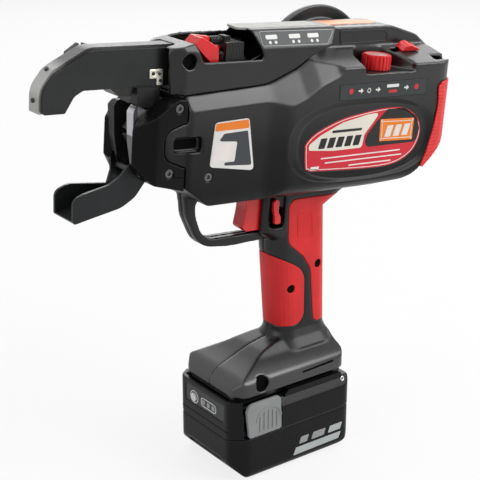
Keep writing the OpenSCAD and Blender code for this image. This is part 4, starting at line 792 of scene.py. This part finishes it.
# Floor: white paper, mixed with a glow of its own by the kind of ray that meets it
FLOOR_HALF = 6
CAMERA_GLOW = 0.82
GLOSSY_GLOW = 0.32
floor_mesh = bpy.data.meshes.new("floor")
corners = [(a * FLOOR_HALF, b * FLOOR_HALF, 0) for a, b in ((-1, -1), (1, -1), (1, 1), (-1, 1))]
floor_mesh.from_pydata(corners, [], [(0, 1, 2, 3)])
floor = bpy.data.objects.new("floor", floor_mesh)
scene.collection.objects.link(floor)
paper = bpy.data.materials.new("floor_paper")
paper.use_nodes = True
tree = paper.node_tree
tree.nodes.clear()
out = tree.nodes.new("ShaderNodeOutputMaterial")
diffuse = tree.nodes.new("ShaderNodeBsdfDiffuse")
diffuse.inputs["Color"].default_value = (0.8, 0.8, 0.8, 1)
glow = tree.nodes.new("ShaderNodeEmission")
glow.inputs["Color"].default_value = (1, 1, 1, 1)
glow.inputs["Strength"].default_value = 1.0
path = tree.nodes.new("ShaderNodeLightPath")
mix = tree.nodes.new("ShaderNodeMixShader")
both = tree.nodes.new("ShaderNodeMath")
both.operation = "MULTIPLY_ADD"
both.inputs[1].default_value = GLOSSY_GLOW
seen = tree.nodes.new("ShaderNodeMath")
seen.operation = "MULTIPLY"
seen.inputs[1].default_value = CAMERA_GLOW
either = tree.nodes.new("ShaderNodeMath")
either.operation = "MAXIMUM"
tree.links.new(path.outputs["Is Glossy Ray"], either.inputs[0])
tree.links.new(path.outputs["Is Transmission Ray"], either.inputs[1])
tree.links.new(either.outputs["Value"], both.inputs[0])
tree.links.new(path.outputs["Is Camera Ray"], seen.inputs[0])
tree.links.new(seen.outputs["Value"], both.inputs[2])
tree.links.new(both.outputs["Value"], mix.inputs["Fac"])
tree.links.new(diffuse.outputs["BSDF"], mix.inputs[1])
tree.links.new(glow.outputs["Emission"], mix.inputs[2])
tree.links.new(mix.outputs["Shader"], out.inputs["Surface"])
floor_mesh.materials.append(paper)

# World: white for camera, glossy and transmission rays, dimmer as a light
WORLD_SEEN = 1.0
WORLD_LIGHT = 0.25
world = bpy.data.worlds.new("studio")
scene.world = world
world.use_nodes = True
wt = world.node_tree
back = wt.nodes["Background"]
back.inputs["Color"].default_value = (1, 1, 1, 1)
ray = wt.nodes.new("ShaderNodeLightPath")
level_of = wt.nodes.new("ShaderNodeMapRange")
level_of.inputs["To Min"].default_value = WORLD_LIGHT
level_of.inputs["To Max"].default_value = WORLD_SEEN
bright_to = ray.outputs["Is Camera Ray"]
for kind in ("Is Glossy Ray", "Is Transmission Ray"):
    join = wt.nodes.new("ShaderNodeMath")
    join.operation = "MAXIMUM"
    wt.links.new(bright_to, join.inputs[0])
    wt.links.new(ray.outputs[kind], join.inputs[1])
    bright_to = join.outputs["Value"]
wt.links.new(bright_to, level_of.inputs["Value"])
wt.links.new(level_of.outputs["Result"], back.inputs["Strength"])


# Lights
def softbox(name, location, target, size, power):
    data = bpy.data.lights.new(name, "AREA")
    data.shape = "RECTANGLE"
    data.size, data.size_y = size
    data.energy = power
    obj = bpy.data.objects.new(name, data)
    obj.location = location
    obj.rotation_euler = (Vector(target) - Vector(location)).to_track_quat("-Z", "Y").to_euler()
    scene.collection.objects.link(obj)


middle = (0, 0, 0.2)
softbox("key_light", (0.95, -0.97, 1.2), middle, (1.4, 1.2), 26)
softbox("top_light", (-0.1, 0.3, 1.8), middle, (1.4, 1.2), 10)
softbox("back_light", (1.05, 1.35, 0.95), middle, (1.8, 0.9), 13)
softbox("left_light", (-1.6, -0.3, 0.9), middle, (0.9, 0.9), 7)
